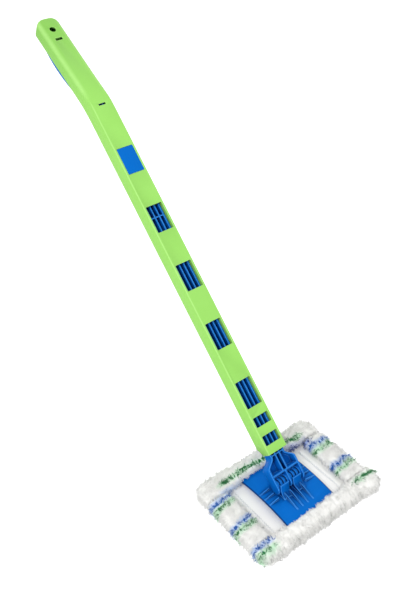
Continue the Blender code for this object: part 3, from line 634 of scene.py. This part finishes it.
# %% Smooth ramps that shape the borders
PUFF = 2.0 * MM
PUFFED_FROM, PUFFED_TO = 45 * MM, 85 * MM
END_OVERLAP = 4.5 * MM
INNER_TRIM = 0.05
FRONT_MIDDLE = -56 * MM
CORNER_FROM, CORNER_TO = 62 * MM, 82 * MM
CORNER_SPREAD = 0.16
CORNER_RISE = 0.08
# Which side, the ramp's start and end, and the move along X and Y, all in mm
PULLED = {
    "front_pocket": ((1, 62, 82, 5.0, -2.0), (-1, 60, 85, 0.5, 2.5)),
    "rear_pocket": ((1, 45, 80, 0.0, 2.5), (-1, 62, 82, -2.0, 0.5)),
}


def ease(values, first, last):
    """0 before the first value and 1 after the last, with a smooth slope between them."""
    share = np.clip((values - first) / (last - first), 0, 1)
    return share * share * (3 - 2 * share)


def fit_side_border(x, y):
    """Lets the ends reach into the front and rear borders, and draws the inner side away from the plate."""
    middle = (y.max() + y.min()) / 2
    y += END_OVERLAP * (y - middle) / (y.max() - middle)
    outer = math.copysign(np.abs(x).max(), x[0])
    x[:] = outer + (x - outer) * (1 - INNER_TRIM)


def swell_front_corner(x, y, z):
    """Makes the front border's right-hand corner wider and higher, where stuffing has gathered."""
    corner = ease(x, CORNER_FROM, CORNER_TO)
    y += corner * CORNER_SPREAD * (y - FRONT_MIDDLE)
    z *= 1 + CORNER_RISE * corner


print("corners pulled", {node: len(pulls) for node, pulls in PULLED.items()})

# %% Shape the soft bodies
FLAT_UNDER = 1.4 * MM
for node, made in soft.items():
    places = coordinates(made)
    x, y, z = places.T
    if node == "pad_face":
        z[:] = np.maximum(z, FLAT_UNDER)
    else:
        x += PUFF * ease(x, PUFFED_FROM, PUFFED_TO)
    if node in ("left_border", "right_border"):
        fit_side_border(x, y)
    if node == "front_pocket":
        swell_front_corner(x, y, z)
    for side, first, last, along_x, along_y in PULLED.get(node, ()):
        corner = ease(side * x, first * MM, last * MM)
        x += along_x * MM * corner
        y += along_y * MM * corner
    set_coordinates(made, places)
    print(made.name, in_mm(made.dimensions), "mm")

# %% [markdown]
# ## Plush pile
#
# The pile is thousands of soft locks of fibre. Hair would render well but isn't a mesh, so the pad would be
# bald anywhere else. A lock is modelled once as a thin bent spike of three sides, in four bends, and
# geometry nodes sow the copies over each body. Noise turns and lengthens them in patches, which gives the
# clumps of worn plush. Each copy keeps the place of its root, so that a coloured thread stays one colour
# right to its tip.

# %% One lock of fibre
LOCK_LENGTH = 6.5 * MM
LOCK_WIDTH = 1.2 * MM
LOCK_STEPS = 4
LOCK_TAPER = 0.75


def thickness(along):
    """A lock's thickness at a share of its length."""
    return 1 - LOCK_TAPER * along**1.5


def make_lock(name, bend, curl):
    """A spike from the origin up along Z that tapers and bends step by step."""

    def middle(along):
        return Vector((bend * along**2, curl * math.sin(math.pi * along), LOCK_LENGTH * along))

    bpy.ops.object.select_all(action="DESELECT")
    bpy.ops.mesh.primitive_circle_add(vertices=3, radius=LOCK_WIDTH / 2, enter_editmode=True)
    made = bpy.context.object
    made.name = name
    for step in range(LOCK_STEPS):
        last, along = step / LOCK_STEPS, (step + 1) / LOCK_STEPS
        bpy.ops.mesh.extrude_region_move(TRANSFORM_OT_translate={"value": middle(along) - middle(last)})
        thin = thickness(along) / thickness(last)
        bpy.ops.transform.resize(value=(thin, thin, 1), center_override=middle(along))
    bpy.ops.mesh.merge(type="CENTER")
    bpy.ops.mesh.select_all(action="SELECT")
    bpy.ops.mesh.normals_make_consistent(inside=False)
    bpy.ops.object.mode_set(mode="OBJECT")
    bpy.ops.object.shade_smooth()
    heights = coordinates(made)[:, 2] / LOCK_LENGTH
    made.data.attributes.new("tip", "FLOAT", "POINT").data.foreach_set("value", heights)
    return made


print("a lock is", in_mm((LOCK_LENGTH, LOCK_WIDTH)), "mm")

# %% A shelf of four unlike locks
BENDS_AND_CURLS = ((1.4, 0.5), (2.6, -0.7), (0.6, 0.9), (2.0, 1.2))
lock_shelf = bpy.data.collections.new("locks")
bpy.context.scene.collection.children.link(lock_shelf)
for number, (bend, curl) in enumerate(BENDS_AND_CURLS):
    lock = make_lock(f"lock_{number}", bend * MM, curl * MM)
    for group in list(lock.users_collection):
        group.objects.unlink(lock)
    lock_shelf.objects.link(lock)

# %% [markdown]
# ## How the locks lie
#
# Worn plush is pressed, swirled and matted. The locks could all stand straight out, which looks like a
# brush. Here each leans as two sizes of noise push it, and hangs a little. Inside the borders, where the
# plate and the cloth rub, they are short. No locks grow on faces that nobody can see, between the pad's
# layers.
#
# Fibres let light through, so a lock has no dark side of its own. Its normals are turned partly towards
# those of the skin under it, which softens the shading from lock to lock and keeps the roundness of the
# whole border.

# %% Small helpers for geometry nodes
def chance(recipe, low, high, seed):
    """A number between two others, drawn anew for each point."""
    inputs = {"Min_001": low, "Max_001": high, "Seed": seed}
    return recipe.node("FunctionNodeRandomValue", {"data_type": "FLOAT"}, inputs, "Value_001")


def keep(recipe, geometry, name, kind, value):
    """Stores a value on each point, under a name that materials can ask for."""
    inputs = {"Geometry": geometry, "Name": name, "Value": value}
    return recipe.node("GeometryNodeStoreNamedAttribute", {"data_type": kind, "domain": "POINT"}, inputs)


print("helpers ready")

# %% Where the locks grow, which way they lie and how long they are
CLUMP = 7 * MM
SWIRL = 2.2 * MM
PER_SQUARE_MM = 1e6
HALF = (0.5, 0.5, 0.5)
SHORTEST, LONGEST = 0.7, 1.25
PATCH_SHORT = 0.45
TRIMMED = 0.55


def scatter(recipe, skin, per_square_mm, looks, seed):
    """Roots on the faces that look between two heights, -1 down and 1 up, and the skin's normal there."""
    facing = recipe.apart(recipe.node("GeometryNodeInputNormal"))[2]
    open_faces = (facing > looks[0]) * (1 - (facing > looks[1]))
    density = per_square_mm * PER_SQUARE_MM
    inputs = {"Mesh": skin, "Selection": open_faces, "Density": density, "Seed": seed}
    points, normal, _ = recipe.outputs(recipe.node("GeometryNodeDistributePointsOnFaces", {}, inputs))
    return points, normal


def lay(recipe, place, normal, lean, droop, seed):
    """The turn of each lock: out from the skin, pushed over by noise, and hanging."""
    noises = [recipe.noise(place, size, 1.0, out="Color") for size in (CLUMP, SWIRL)]
    broad, close = [recipe.vector("SUBTRACT", noise, HALF) for noise in noises]
    inputs = {"Vector": recipe.vector("ADD", broad, close), "Scale": lean}
    push = recipe.node("ShaderNodeVectorMath", {"operation": "SCALE"}, inputs)
    way = recipe.vector("ADD", recipe.vector("ADD", normal, push), (0.0, 0.0, -droop))
    spin = recipe.node("ShaderNodeCombineXYZ", {}, {"Z": chance(recipe, 0.0, 2 * math.pi, seed)})
    start = recipe.node("FunctionNodeEulerToRotation", {}, {"Euler": spin})
    inputs = {"Rotation": start, "Vector": way}
    return recipe.node("FunctionNodeAlignRotationToVector", {"axis": "Z"}, inputs)


def trim(recipe, place, normal, length, inward, seed):
    """The size of each lock: longer in some patches, and short where the skin looks inward."""
    patch = PATCH_SHORT + recipe.noise(place, CLUMP, 1.0)
    inner = recipe.vector("DOT_PRODUCT", normal, inward, "Value").clamped()
    chosen = chance(recipe, SHORTEST, LONGEST, seed)
    return patch * chosen * (length / LOCK_LENGTH) * (1 - TRIMMED * inner)


print("clumps of", in_mm((CLUMP, SWIRL)), "mm")

# %% How the light falls on them, and how low they may hang
LEAST_HEIGHT = 0.2 * MM


def shade_as_skin(recipe, geometry, softness):
    """Turns the locks' normals partly towards those that the skin kept."""
    settings = {"data_type": "FLOAT_VECTOR"}
    skin = recipe.node("GeometryNodeInputNamedAttribute", settings, {"Name": "skin_normal"}, "Attribute")
    own = recipe.node("GeometryNodeInputNormal")
    inputs = {"A_Vector": own, "B_Vector": skin, "Factor_Float": softness}
    between = recipe.node("ShaderNodeMix", {"data_type": "VECTOR"}, inputs, "Result_Vector")
    inputs = {"Mesh": geometry, "Custom Normal": between}
    shaded = recipe.node("GeometryNodeSetMeshNormal", {"mode": "FREE", "domain": "POINT"}, inputs)
    return recipe.node("GeometryNodeRemoveAttribute", {}, {"Geometry": shaded, "Name": "skin_normal"})


def lift(recipe, pile, place):
    """Lifts what would hang through the floor."""
    x, y, z = recipe.apart(place)
    high_enough = z.math("MAXIMUM", z, LEAST_HEIGHT)
    raised = recipe.node("ShaderNodeCombineXYZ", {}, {"X": x, "Y": y, "Z": high_enough})
    return recipe.node("GeometryNodeSetPosition", {}, {"Geometry": pile, "Position": raised})


print("locks stay", in_mm([LEAST_HEIGHT]), "mm over the floor")

# %% Sow the locks over a body
def sow(body, seed, per_square_mm, length, lean, droop, softness, inward, looks):
    """Covers a body with locks. Softness is how far they are shaded as one skin with the body."""
    tree = bpy.data.node_groups.new(f"{body.name}_pile", "GeometryNodeTree")
    for way in ("INPUT", "OUTPUT"):
        tree.interface.new_socket("Geometry", in_out=way, socket_type="NodeSocketGeometry")
    recipe = Recipe(tree)
    place = recipe.node("GeometryNodeInputPosition")
    normal = recipe.node("GeometryNodeInputNormal")
    skin = keep(recipe, recipe.node("NodeGroupInput"), "skin_normal", "FLOAT_VECTOR", normal)
    points, normal = scatter(recipe, skin, per_square_mm, looks, seed)
    turn = lay(recipe, place, normal, lean, droop, seed * 10 + 1)
    size = trim(recipe, place, normal, length, inward, seed * 10 + 2)
    points = keep(recipe, points, "root", "FLOAT_VECTOR", place)
    points = keep(recipe, points, "strand", "FLOAT", chance(recipe, 0.0, 1.0, seed * 10 + 3))
    inputs = {"Collection": lock_shelf, "Separate Children": True, "Reset Children": True}
    shelf = recipe.node("GeometryNodeCollectionInfo", {}, inputs)
    inputs = {"Points": points, "Instance": shelf, "Pick Instance": True, "Rotation": turn, "Scale": size}
    locks = recipe.node("GeometryNodeInstanceOnPoints", {}, inputs)
    pile = lift(recipe, recipe.node("GeometryNodeRealizeInstances", {}, {"Geometry": locks}), place)
    skin = keep(recipe, skin, "root", "FLOAT_VECTOR", place)
    skin = keep(recipe, skin, "strand", "FLOAT", 0.5)
    both = recipe.node("GeometryNodeJoinGeometry", {}, {"Geometry": pile})
    plug(tree, both.socket.node.inputs[0], skin)
    recipe.node("NodeGroupOutput", {}, {"Geometry": shade_as_skin(recipe, both, softness)})
    sowing = body.modifiers.new("pile", "NODES")
    sowing.node_group = tree
    pick(body)
    bpy.ops.object.modifier_apply(modifier=sowing.name)


# Locks a square mm, their length in mm, lean, droop, softness, the way in which they are trimmed, and the
# heights between which their faces look
DOWN_AND_OUT = (-1.1, 0.2)
UP_AND_OUT = (-0.6, 1.1)
PILE = {
    "pad_face": (0.22, 4.5, 3.0, 0.1, 0.60, (0.0, 0.0, 0.0), DOWN_AND_OUT),
    "front_pocket": (0.75, 6.0, 3.0, 1.3, 0.20, (0.0, 0.75, 0.0), UP_AND_OUT),
    "rear_pocket": (0.70, 4.8, 2.8, 0.7, 0.52, (0.0, -0.4, 0.0), UP_AND_OUT),
    "left_border": (0.75, 4.6, 2.7, 0.7, 0.52, (0.2, 0.0, 0.0), UP_AND_OUT),
    "right_border": (0.70, 4.8, 2.7, 0.7, 0.52, (-0.2, 0.0, 0.0), UP_AND_OUT),
}
for number, (node, (density, length, *rest)) in enumerate(PILE.items(), start=1):
    sow(soft[node], number, density, length * MM, *rest)
    print(soft[node].name, len(soft[node].data.polygons), "faces", in_mm(soft[node].dimensions), "mm")
for lock in list(lock_shelf.objects):
    bpy.data.objects.remove(lock)
bpy.data.collections.remove(lock_shelf)

# %% [markdown]
# ## White plush with coloured threads
#
# The cloth is off-white, with thin blue and green lines woven along X every 40 mm. The threads stray, so
# the lines look feathered. Painting them on the surface would cut them off sharply. Instead each lock asks
# how near its root is to a line: the nearer it is, the more likely that lock is a coloured one, picked in
# strokes by a noise that is stretched across the line. The white fibres round a coloured thread take on a
# pale tinge of it.
#
# Low on the borders the tufts hang apart, and the hollows between them get a painted grey shade, as the
# roots of all locks get a paler one. The same stretched noise gives the hollows, so they run the way the
# tufts hang.

# %% Colours and sizes of the plush
PLUSH_WHITE = rgb(0.990, 0.988, 0.968)
# Painted shade for the roots of the locks, also used for mottling, and for the hollows between tufts
PLUSH_ROOT_SHADE_AND_MOTTLE = rgb(0.940, 0.936, 0.912)
PLUSH_HOLLOW_SHADE = rgb(0.560, 0.570, 0.550)
# The colour of the threads, and the tinge round them
STRIPE_BLUE = (rgb(0.004, 0.105, 0.440), rgb(0.420, 0.600, 0.960))
STRIPE_NAVY = (rgb(0.001, 0.022, 0.230), rgb(0.190, 0.300, 0.720))
STRIPE_GREEN = (rgb(0.010, 0.165, 0.045), rgb(0.480, 0.800, 0.530))
ACROSS_THE_LINES = (1.0, 0.3, 0.3)
STROKE = 2.6 * MM
TUFT = 3.6 * MM
TIP_WHITE, TIP_CLEAR = 0.9, 0.8
MOTTLE = 4 * MM
MOTTLE_WHITE = 0.35
STRAY = 9 * MM
STRAY_LENGTH = 16 * MM
HOLLOW_SHADE_BELOW = 27 * MM
HOLLOW_SHADE_FADE = 9 * MM
LINE_FADE = 9 * MM
TINGE = 1.3
TINGE_SPREAD = 2.4
TINGE_DEPTH = 0.8
THREAD_SPREAD = 1.7
PALER_TIP = 0.25
STROKE_CONTRAST, STROKE_GAPS = 3.0, 0.85
TUFT_CONTRAST, TUFT_GAPS = 5, 2.6
FUZZ = 0.7 * MM
FUZZ_DEPTH = 0.4 * MM
print("threads stray by", in_mm([STRAY / 2]), "mm")

# %% The pile's own colour, and the lines on it
def kept(recipe, attribute, out="Fac"):
    """What the locks keep under this name."""
    return recipe.node("ShaderNodeAttribute", {"attribute_name": attribute}, out=out)


def tufted(recipe, root, height, hollows):
    """Off-white and mottled, with painted shade at the roots and in the hollows low down."""
    tip = kept(recipe, "tip")
    tufts = recipe.noise(recipe.vector("MULTIPLY", root, ACROSS_THE_LINES), TUFT, 1.5)
    low = ((HOLLOW_SHADE_BELOW - height) / HOLLOW_SHADE_FADE).clamped()
    # Painted shade: roots darker than tips, mixed with random mottling
    white = (tip * TIP_WHITE + MOTTLE_WHITE * recipe.noise(root, MOTTLE, 2.0)).clamped()
    colour = recipe.mixed(white, PLUSH_ROOT_SHADE_AND_MOTTLE, PLUSH_WHITE)
    # Painted shade in the hollows between tufts, low on the borders
    hollow = (hollows * (TUFT_GAPS - TUFT_CONTRAST * tufts)).clamped() * (1 - TIP_CLEAR * tip) * low
    return recipe.mixed(hollow, colour, PLUSH_HOLLOW_SHADE)


def striped(recipe, root, sideways, across, colour, lines):
    """Lines of coloured threads, each in its tinge. A line is its y, its pitch or 0, half its width, its
    strength, its reach in x, and its two colours."""
    tip, strand = kept(recipe, "tip"), kept(recipe, "strand")
    stray = STRAY * (recipe.noise(root, STRAY_LENGTH, 3.0) - 0.5)
    strokes = recipe.noise(recipe.vector("MULTIPLY", root, ACROSS_THE_LINES), STROKE, 1.0)
    threads = []
    for middle, pitch, half, strength, (first, last), (thread, tinge) in lines:
        offset = across + stray - middle * MM
        near = offset.math("PINGPONG", offset, pitch * MM / 2) if pitch else abs(offset)
        begun = ((sideways - first * MM) / LINE_FADE).clamped()
        shown = begun * ((last * MM - sideways) / LINE_FADE).clamped()
        tinged = (TINGE * (1 - near / (TINGE_SPREAD * half * MM))).clamped() * shown * TINGE_DEPTH
        colour = recipe.mixed(tinged, colour, tinge)
        threads.append(((strength * (1 - near / (THREAD_SPREAD * half * MM))).clamped() * shown, thread))
    for likely, thread in threads:
        picked = likely * (STROKE_CONTRAST * strokes - STROKE_GAPS) > strand
        colour = recipe.mixed(picked * (1 - PALER_TIP * tip), colour, thread)
    return colour


def plush(name, hollows, lines):
    """Soft dull pile with its lines and a fine fuzz."""
    made, recipe, shader = new_material(name)
    root = kept(recipe, "root", "Vector")
    sideways, across, height = recipe.apart(root)
    colour = tufted(recipe, root, height, hollows)
    feed(recipe, shader, {
        "Base Color": striped(recipe, root, sideways, across, colour, lines),
        "Roughness": 0.95,
        "Sheen Weight": 0.08,
        "Normal": recipe.bump(recipe.noise(recipe.place(), FUZZ, 3.0), 0.5, FUZZ_DEPTH),
    })
    return made


print("plush ready")

# %% The lines of each soft body, in mm
ALL_ALONG = (-200, 200)
HANGING_HOLLOW_SHADE = 1.3
LYING_HOLLOW_SHADE = 0.3


def pair(blue_at, green_at, pitch, reach=ALL_ALONG):
    """The blue and the green line of a side border."""
    return (
        (blue_at, pitch, 2.7, 1.3, reach, STRIPE_BLUE),
        (green_at, pitch, 2.7, 1.0, reach, STRIPE_GREEN),
    )


LINES = {
    "pad_face": pair(-8, -17, 38.5),
    "front_pocket": (
        (-46.5, 0, 2.4, 1.4, (-200, -64), STRIPE_BLUE),
        (-55.5, 0, 2.7, 1.2, (-200, -62), STRIPE_GREEN),
        (-51.0, 0, 2.0, 1.3, (62, 200), STRIPE_GREEN),
    ),
    "rear_pocket": (
        (36, 0, 2.6, 0.5, (-76, -20), STRIPE_BLUE),
        (34.6, 0, 4.4, 3.4, (24, 76), STRIPE_NAVY),
        (48, 0, 2.0, 3.2, (-74, 74), STRIPE_GREEN),
    ),
    "left_border": pair(-8, -16.5, 38.5, (-200, -60)),
    "right_border": (*pair(-16, -24.5, 40), (34.0, 0, 2.6, 2.4, (-200, 78), STRIPE_NAVY)),
}
for node, lines in LINES.items():
    made = soft[node]
    made.data.materials.clear()
    hollows = HANGING_HOLLOW_SHADE if node == "front_pocket" else LYING_HOLLOW_SHADE
    made.data.materials.append(plush(f"{node}_pile", hollows, lines))
    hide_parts(node)
    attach(made, "head")
print("plush on", list(LINES))

# %% [markdown]
# ## Foam core
#
# Between the plush and the cloth lies a thin sheet of foam, which nobody sees unless the pad bends. It is
# short work to give it its true shape: the CAD slab, with its edges rounded by a Bevel modifier, and a
# crumbly surface made of small cells.

# %% The core
CORE_ROUNDING = 1.2 * MM
FOAM_CELL = 0.9 * MM
FOAM_DEPTH = 0.3 * MM
core = copy_of("pad_core", "pad_core_foam")
soften = core.modifiers.new("soften", "BEVEL")
soften.width = CORE_ROUNDING
soften.segments = 3
soften.limit_method = "ANGLE"
bpy.ops.object.modifier_apply(modifier=soften.name)
bpy.ops.object.shade_smooth_by_angle(angle=SMOOTH)
foam, recipe, shader = new_material("white_foam")
cells = recipe.node("ShaderNodeTexVoronoi", {}, {"Vector": recipe.place(), "Scale": 1 / FOAM_CELL})
feed(recipe, shader, {
    "Base Color": recipe.mixed(cells, rgb(0.62, 0.61, 0.57), rgb(0.80, 0.79, 0.75)),
    "Roughness": 0.95,
    "Normal": recipe.bump(cells, 0.6, FOAM_DEPTH),
})
core.data.materials.append(foam)
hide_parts("pad_core")
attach(core, "head")
print(core.name, len(core.data.polygons), "faces")

# %% [markdown]
# ## Woven backing
#
# The white cloth beside the plate is a ribbed weave, sewn down all round and a little slack in between. A
# plane could carry it by texture alone, but slack cloth has real hollows, so the grid is given soft waves
# and then its thickness by a Solidify modifier. Its ribs run from front to rear, as a material that reads
# Object coordinates.

# %% The backing cloth
BACKING_THICKNESS = 0.8 * MM
BACKING_CORNER = 20 * MM
SQUARES_ACROSS, SQUARES_ALONG = 94, 68
SLACK_LIFT = 0.35 * MM
SLACK_DEPTH = 0.3 * MM
SLACK_WIDTH = 9 * MM
SLACK_LENGTH = 11 * MM
SLACK_WANDER = 13 * MM
SLACK_SWAY = 1.3


def round_corners(places, half, radius):
    """Draws the points of a flat rectangle's corners in, so that the corners are round."""
    corner = np.abs(places[:, :2]) - (half - radius)
    outside = (corner > 0).all(axis=1)
    reach = np.linalg.norm(np.maximum(corner, 0), axis=1)
    square = np.maximum(corner, 0).max(axis=1)
    pull = np.where(outside, square / np.maximum(reach, TINY), 1)
    kept_in = np.sign(places[:, :2]) * (half - radius)
    drawn_in = kept_in + (places[:, :2] - kept_in) * pull[:, None]
    places[:, :2] = np.where(outside[:, None], drawn_in, places[:, :2])


low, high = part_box("pad_backing")
bpy.ops.object.select_all(action="DESELECT")
bpy.ops.mesh.primitive_grid_add(x_subdivisions=SQUARES_ACROSS, y_subdivisions=SQUARES_ALONG, size=1)
backing = bpy.context.object
backing.name = "pad_backing_cloth"
places = coordinates(backing)
half = np.array(((high.x - low.x) / 2, (high.y - low.y) / 2))
places[:, :2] *= 2 * half
round_corners(places, half, BACKING_CORNER)
x, y = places[:, 0], places[:, 1]
wave = np.sin(x / SLACK_WIDTH + SLACK_SWAY * np.sin(y / SLACK_WANDER)) * np.sin(y / SLACK_LENGTH)
places[:, 2] = low.z + SLACK_LIFT + SLACK_DEPTH * wave
set_coordinates(backing, places)
pick(backing)
thick = backing.modifiers.new("thickness", "SOLIDIFY")
thick.thickness = BACKING_THICKNESS
thick.offset = 0
bpy.ops.object.modifier_apply(modifier=thick.name)
bpy.ops.object.shade_smooth_by_angle(angle=SMOOTH)
print(backing.name, in_mm(backing.dimensions), "mm")

# %% Its ribbed weave
RIB_PITCH = 1.3 * MM
PICK_PITCH = 0.6 * MM
WEAVE_DEPTH = 0.2 * MM
RIB_SHARE, PICK_SHARE = 0.8, 0.2
SOIL = 14 * MM
WEAVE_WHITE, SOIL_WHITE = 0.75, 0.4
cloth, recipe, shader = new_material("white_ribbed_cloth")
place = recipe.place()
x, y, z = recipe.apart(place)
ribs = (x * (2 * math.pi / RIB_PITCH)).wave()
picks = (y * (2 * math.pi / PICK_PITCH)).wave()
weave = ribs * RIB_SHARE + picks * PICK_SHARE
clean = (weave * WEAVE_WHITE + recipe.noise(place, SOIL, 3.0) * SOIL_WHITE).clamped()
feed(recipe, shader, {
    "Base Color": recipe.mixed(clean, rgb(0.935, 0.930, 0.920), rgb(0.990, 0.985, 0.970)),
    "Roughness": 0.88,
    "Normal": recipe.bump(weave, 0.4, WEAVE_DEPTH),
})
backing.data.materials.append(cloth)
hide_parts("pad_backing")
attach(backing, "head")
print("weave", in_mm([RIB_PITCH]), "mm a rib")

# %% [markdown]
# ## Hems
#
# Where the side borders meet the backing, the plush is turned under and overlocked. Two things show: the
# thin rolled edge, and the slanting stitches over it. The roll is a bar with bevelled edges and a slight
# wander. One zig and one zag of thread are modelled, and an Array modifier repeats them along the hem.

# %% Rolled edges
ROLL_SHOWS = 4.6 * MM
ROLL_ROUNDING = 0.4 * MM
ROLL_CUTS = 24
ROLL_SMOOTH = math.radians(50)
WANDER_SIDEWAYS, WANDER_SIDEWAYS_RUN = 0.25 * MM, 5 * MM
WANDER_UP, WANDER_UP_RUN = 0.1 * MM, 3.3 * MM


def make_roll(node, start, middle, size):
    """A bar with round edges that wanders a little, in the cloth of the backing."""
    bpy.ops.object.select_all(action="DESELECT")
    bpy.ops.mesh.primitive_cube_add(size=1, location=middle, scale=size)
    roll = bpy.context.object
    roll.name = f"{node}_roll"
    bpy.ops.object.transform_apply(location=True, rotation=False, scale=True)
    bpy.ops.object.mode_set(mode="EDIT")
    bpy.ops.mesh.select_all(action="SELECT")
    bpy.ops.mesh.bevel(offset=ROLL_ROUNDING, segments=3, affect="EDGES")
    for number in range(1, ROLL_CUTS):
        bpy.ops.mesh.select_all(action="SELECT")
        at = (0, start + size.y * number / ROLL_CUTS, 0)
        bpy.ops.mesh.bisect(plane_co=at, plane_no=(0, 1, 0))
    bpy.ops.object.mode_set(mode="OBJECT")
    places = coordinates(roll)
    places[:, 0] += WANDER_SIDEWAYS * np.sin(places[:, 1] / WANDER_SIDEWAYS_RUN)
    places[:, 2] += WANDER_UP * np.sin(places[:, 1] / WANDER_UP_RUN)
    set_coordinates(roll, places)
    bpy.ops.object.shade_smooth_by_angle(angle=ROLL_SMOOTH)
    roll.data.materials.append(cloth)
    return roll


print("rolls show", in_mm([ROLL_SHOWS]), "mm of their width")

# %% Overlock stitches
STITCH_PITCH = 3.2 * MM
STITCH_WIDTH = 0.5 * MM
STITCH_REACH = 2.8 * MM
STITCH_SLANT = math.radians(28)
TWIST = 0.4 * MM
thread, recipe, shader = new_material("grey_thread")
twist = recipe.noise(recipe.place(), TWIST, 2.0)
feed(recipe, shader, {
    "Base Color": recipe.mixed(twist, rgb(0.38, 0.42, 0.47), rgb(0.62, 0.65, 0.68)),
    "Roughness": 0.8,
})


def make_stitches(node, edge, start, top, length):
    """A row of slanting stitches over an edge: one zig and one zag, and their copies."""
    pieces = []
    bpy.ops.object.select_all(action="DESELECT")
    for turn in (-1, 1):
        at = (edge, start + STITCH_PITCH * (0.5 + 0.25 * turn), top)
        bpy.ops.mesh.primitive_uv_sphere_add(segments=8, ring_count=6, radius=0.5, location=at)
        stitch = bpy.context.object
        stitch.scale = (STITCH_REACH, STITCH_WIDTH, STITCH_WIDTH)
        stitch.rotation_euler.z = turn * STITCH_SLANT
        pieces.append(stitch)
    zig, zag = pieces
    pick(zag, zig)
    bpy.ops.object.join()
    bpy.ops.object.transform_apply(location=True, rotation=True, scale=True)
    zig.name = f"{node}_stitches"
    row = zig.modifiers.new("row", "ARRAY")
    row.use_relative_offset = False
    row.use_constant_offset = True
    row.constant_offset_displace = (0, STITCH_PITCH, 0)
    row.count = int(length / STITCH_PITCH)
    bpy.ops.object.modifier_apply(modifier=row.name)
    bpy.ops.object.shade_smooth()
    zig.data.materials.append(thread)
    return zig


print("a stitch every", in_mm([STITCH_PITCH / 2]), "mm")

# %% Both hems
def make_hem(node):
    """The roll of a hem and its stitches. The roll is wider than its CAD solid, towards the plate."""
    low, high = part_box(node)
    inward = math.copysign(ROLL_SHOWS, -low.x)
    middle = (low + high) / 2 + Vector((inward / 2, 0, 0))
    size = high - low + Vector((ROLL_SHOWS, 0, 0))
    inner_edge = middle.x + math.copysign(size.x / 2 - STITCH_REACH / 3, inward)
    roll = make_roll(node, low.y, middle, size)
    stitches = make_stitches(node, inner_edge, low.y, high.z, size.y)
    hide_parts(node)
    for made in (roll, stitches):
        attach(made, "head")
    return roll, stitches


hems = [made for node in ("left_hem", "right_hem") for made in make_hem(node)]
print("hems", [made.name for made in hems])

# %% [markdown]
# ## Floor and light
#
# The photograph is a cut-out on pure white. A plain floor that is nearly white by its own colour, and a
# little glow that only the camera and reflections see, gives that white and still keeps the mop's soft
# shadow. One large lamp from the upper left gives the shapes, a weak one from behind lifts the far edges,
# and pale surroundings fill the shadows.

# %% The floor
FLOOR_SIDE = 14
FLOOR_WHITE = rgb(0.88, 0.88, 0.88)
FLOOR_GLOW = rgb(0.60, 0.60, 0.60)


def seen_by(recipe, *kinds):
    """1 for these kinds of ray, and 0 for the light that falls on the object."""
    rays = recipe.node("ShaderNodeLightPath").socket.node.outputs
    first, *others = [Signal(recipe.tree, rays[f"Is {kind} Ray"]) for kind in kinds]
    return sum(others, first).clamped()


white_floor, recipe, shader = new_material("white_floor")
shown = seen_by(recipe, "Camera", "Glossy", "Transmission")
feed(recipe, shader, {
    "Base Color": FLOOR_WHITE,
    "Roughness": 0.9,
    "Specular IOR Level": 0,
    "Emission Strength": 1,
    "Emission Color": recipe.mixed(shown, rgb(0, 0, 0), FLOOR_GLOW),
})
bpy.ops.object.select_all(action="DESELECT")
bpy.ops.mesh.primitive_plane_add(size=FLOOR_SIDE)
floor = bpy.context.object
floor.name = "floor"
floor.data.materials.append(white_floor)
print("floor", FLOOR_SIDE, "m wide")

# %% The surroundings and the lamps
AMBIENT = rgb(0.76, 0.76, 0.76)
world = bpy.data.worlds.new("pale_surroundings")
bpy.context.scene.world = world
world.use_nodes = True
air = Recipe(world.node_tree)
background = world.node_tree.nodes["Background"]
background.inputs["Strength"].default_value = 1
pale = air.mixed(seen_by(air, "Camera", "Transmission"), AMBIENT, rgb(1, 1, 1))
plug(air.tree, background.inputs["Color"], pale)


def lamp(name, place, aim, size, power):
    """A square lamp at a place, turned towards its aim, in metres and watts."""
    bpy.ops.object.light_add(type="AREA", location=place)
    made = bpy.context.object
    made.name = name
    made.data.size = size
    made.data.energy = power
    made.rotation_euler = (Vector(aim) - Vector(place)).to_track_quat("-Z", "Y").to_euler()
    print("lamp", name, power, "W")


lamp("key", (-1.25, -0.65, 1.70), (0, 0.15, 0.15), 0.8, 20)
lamp("rim", (0.9, 1.2, 1.3), (0, 0.2, 0.2), 0.9, 3)
bpy.context.scene.view_settings.view_transform = "Standard"
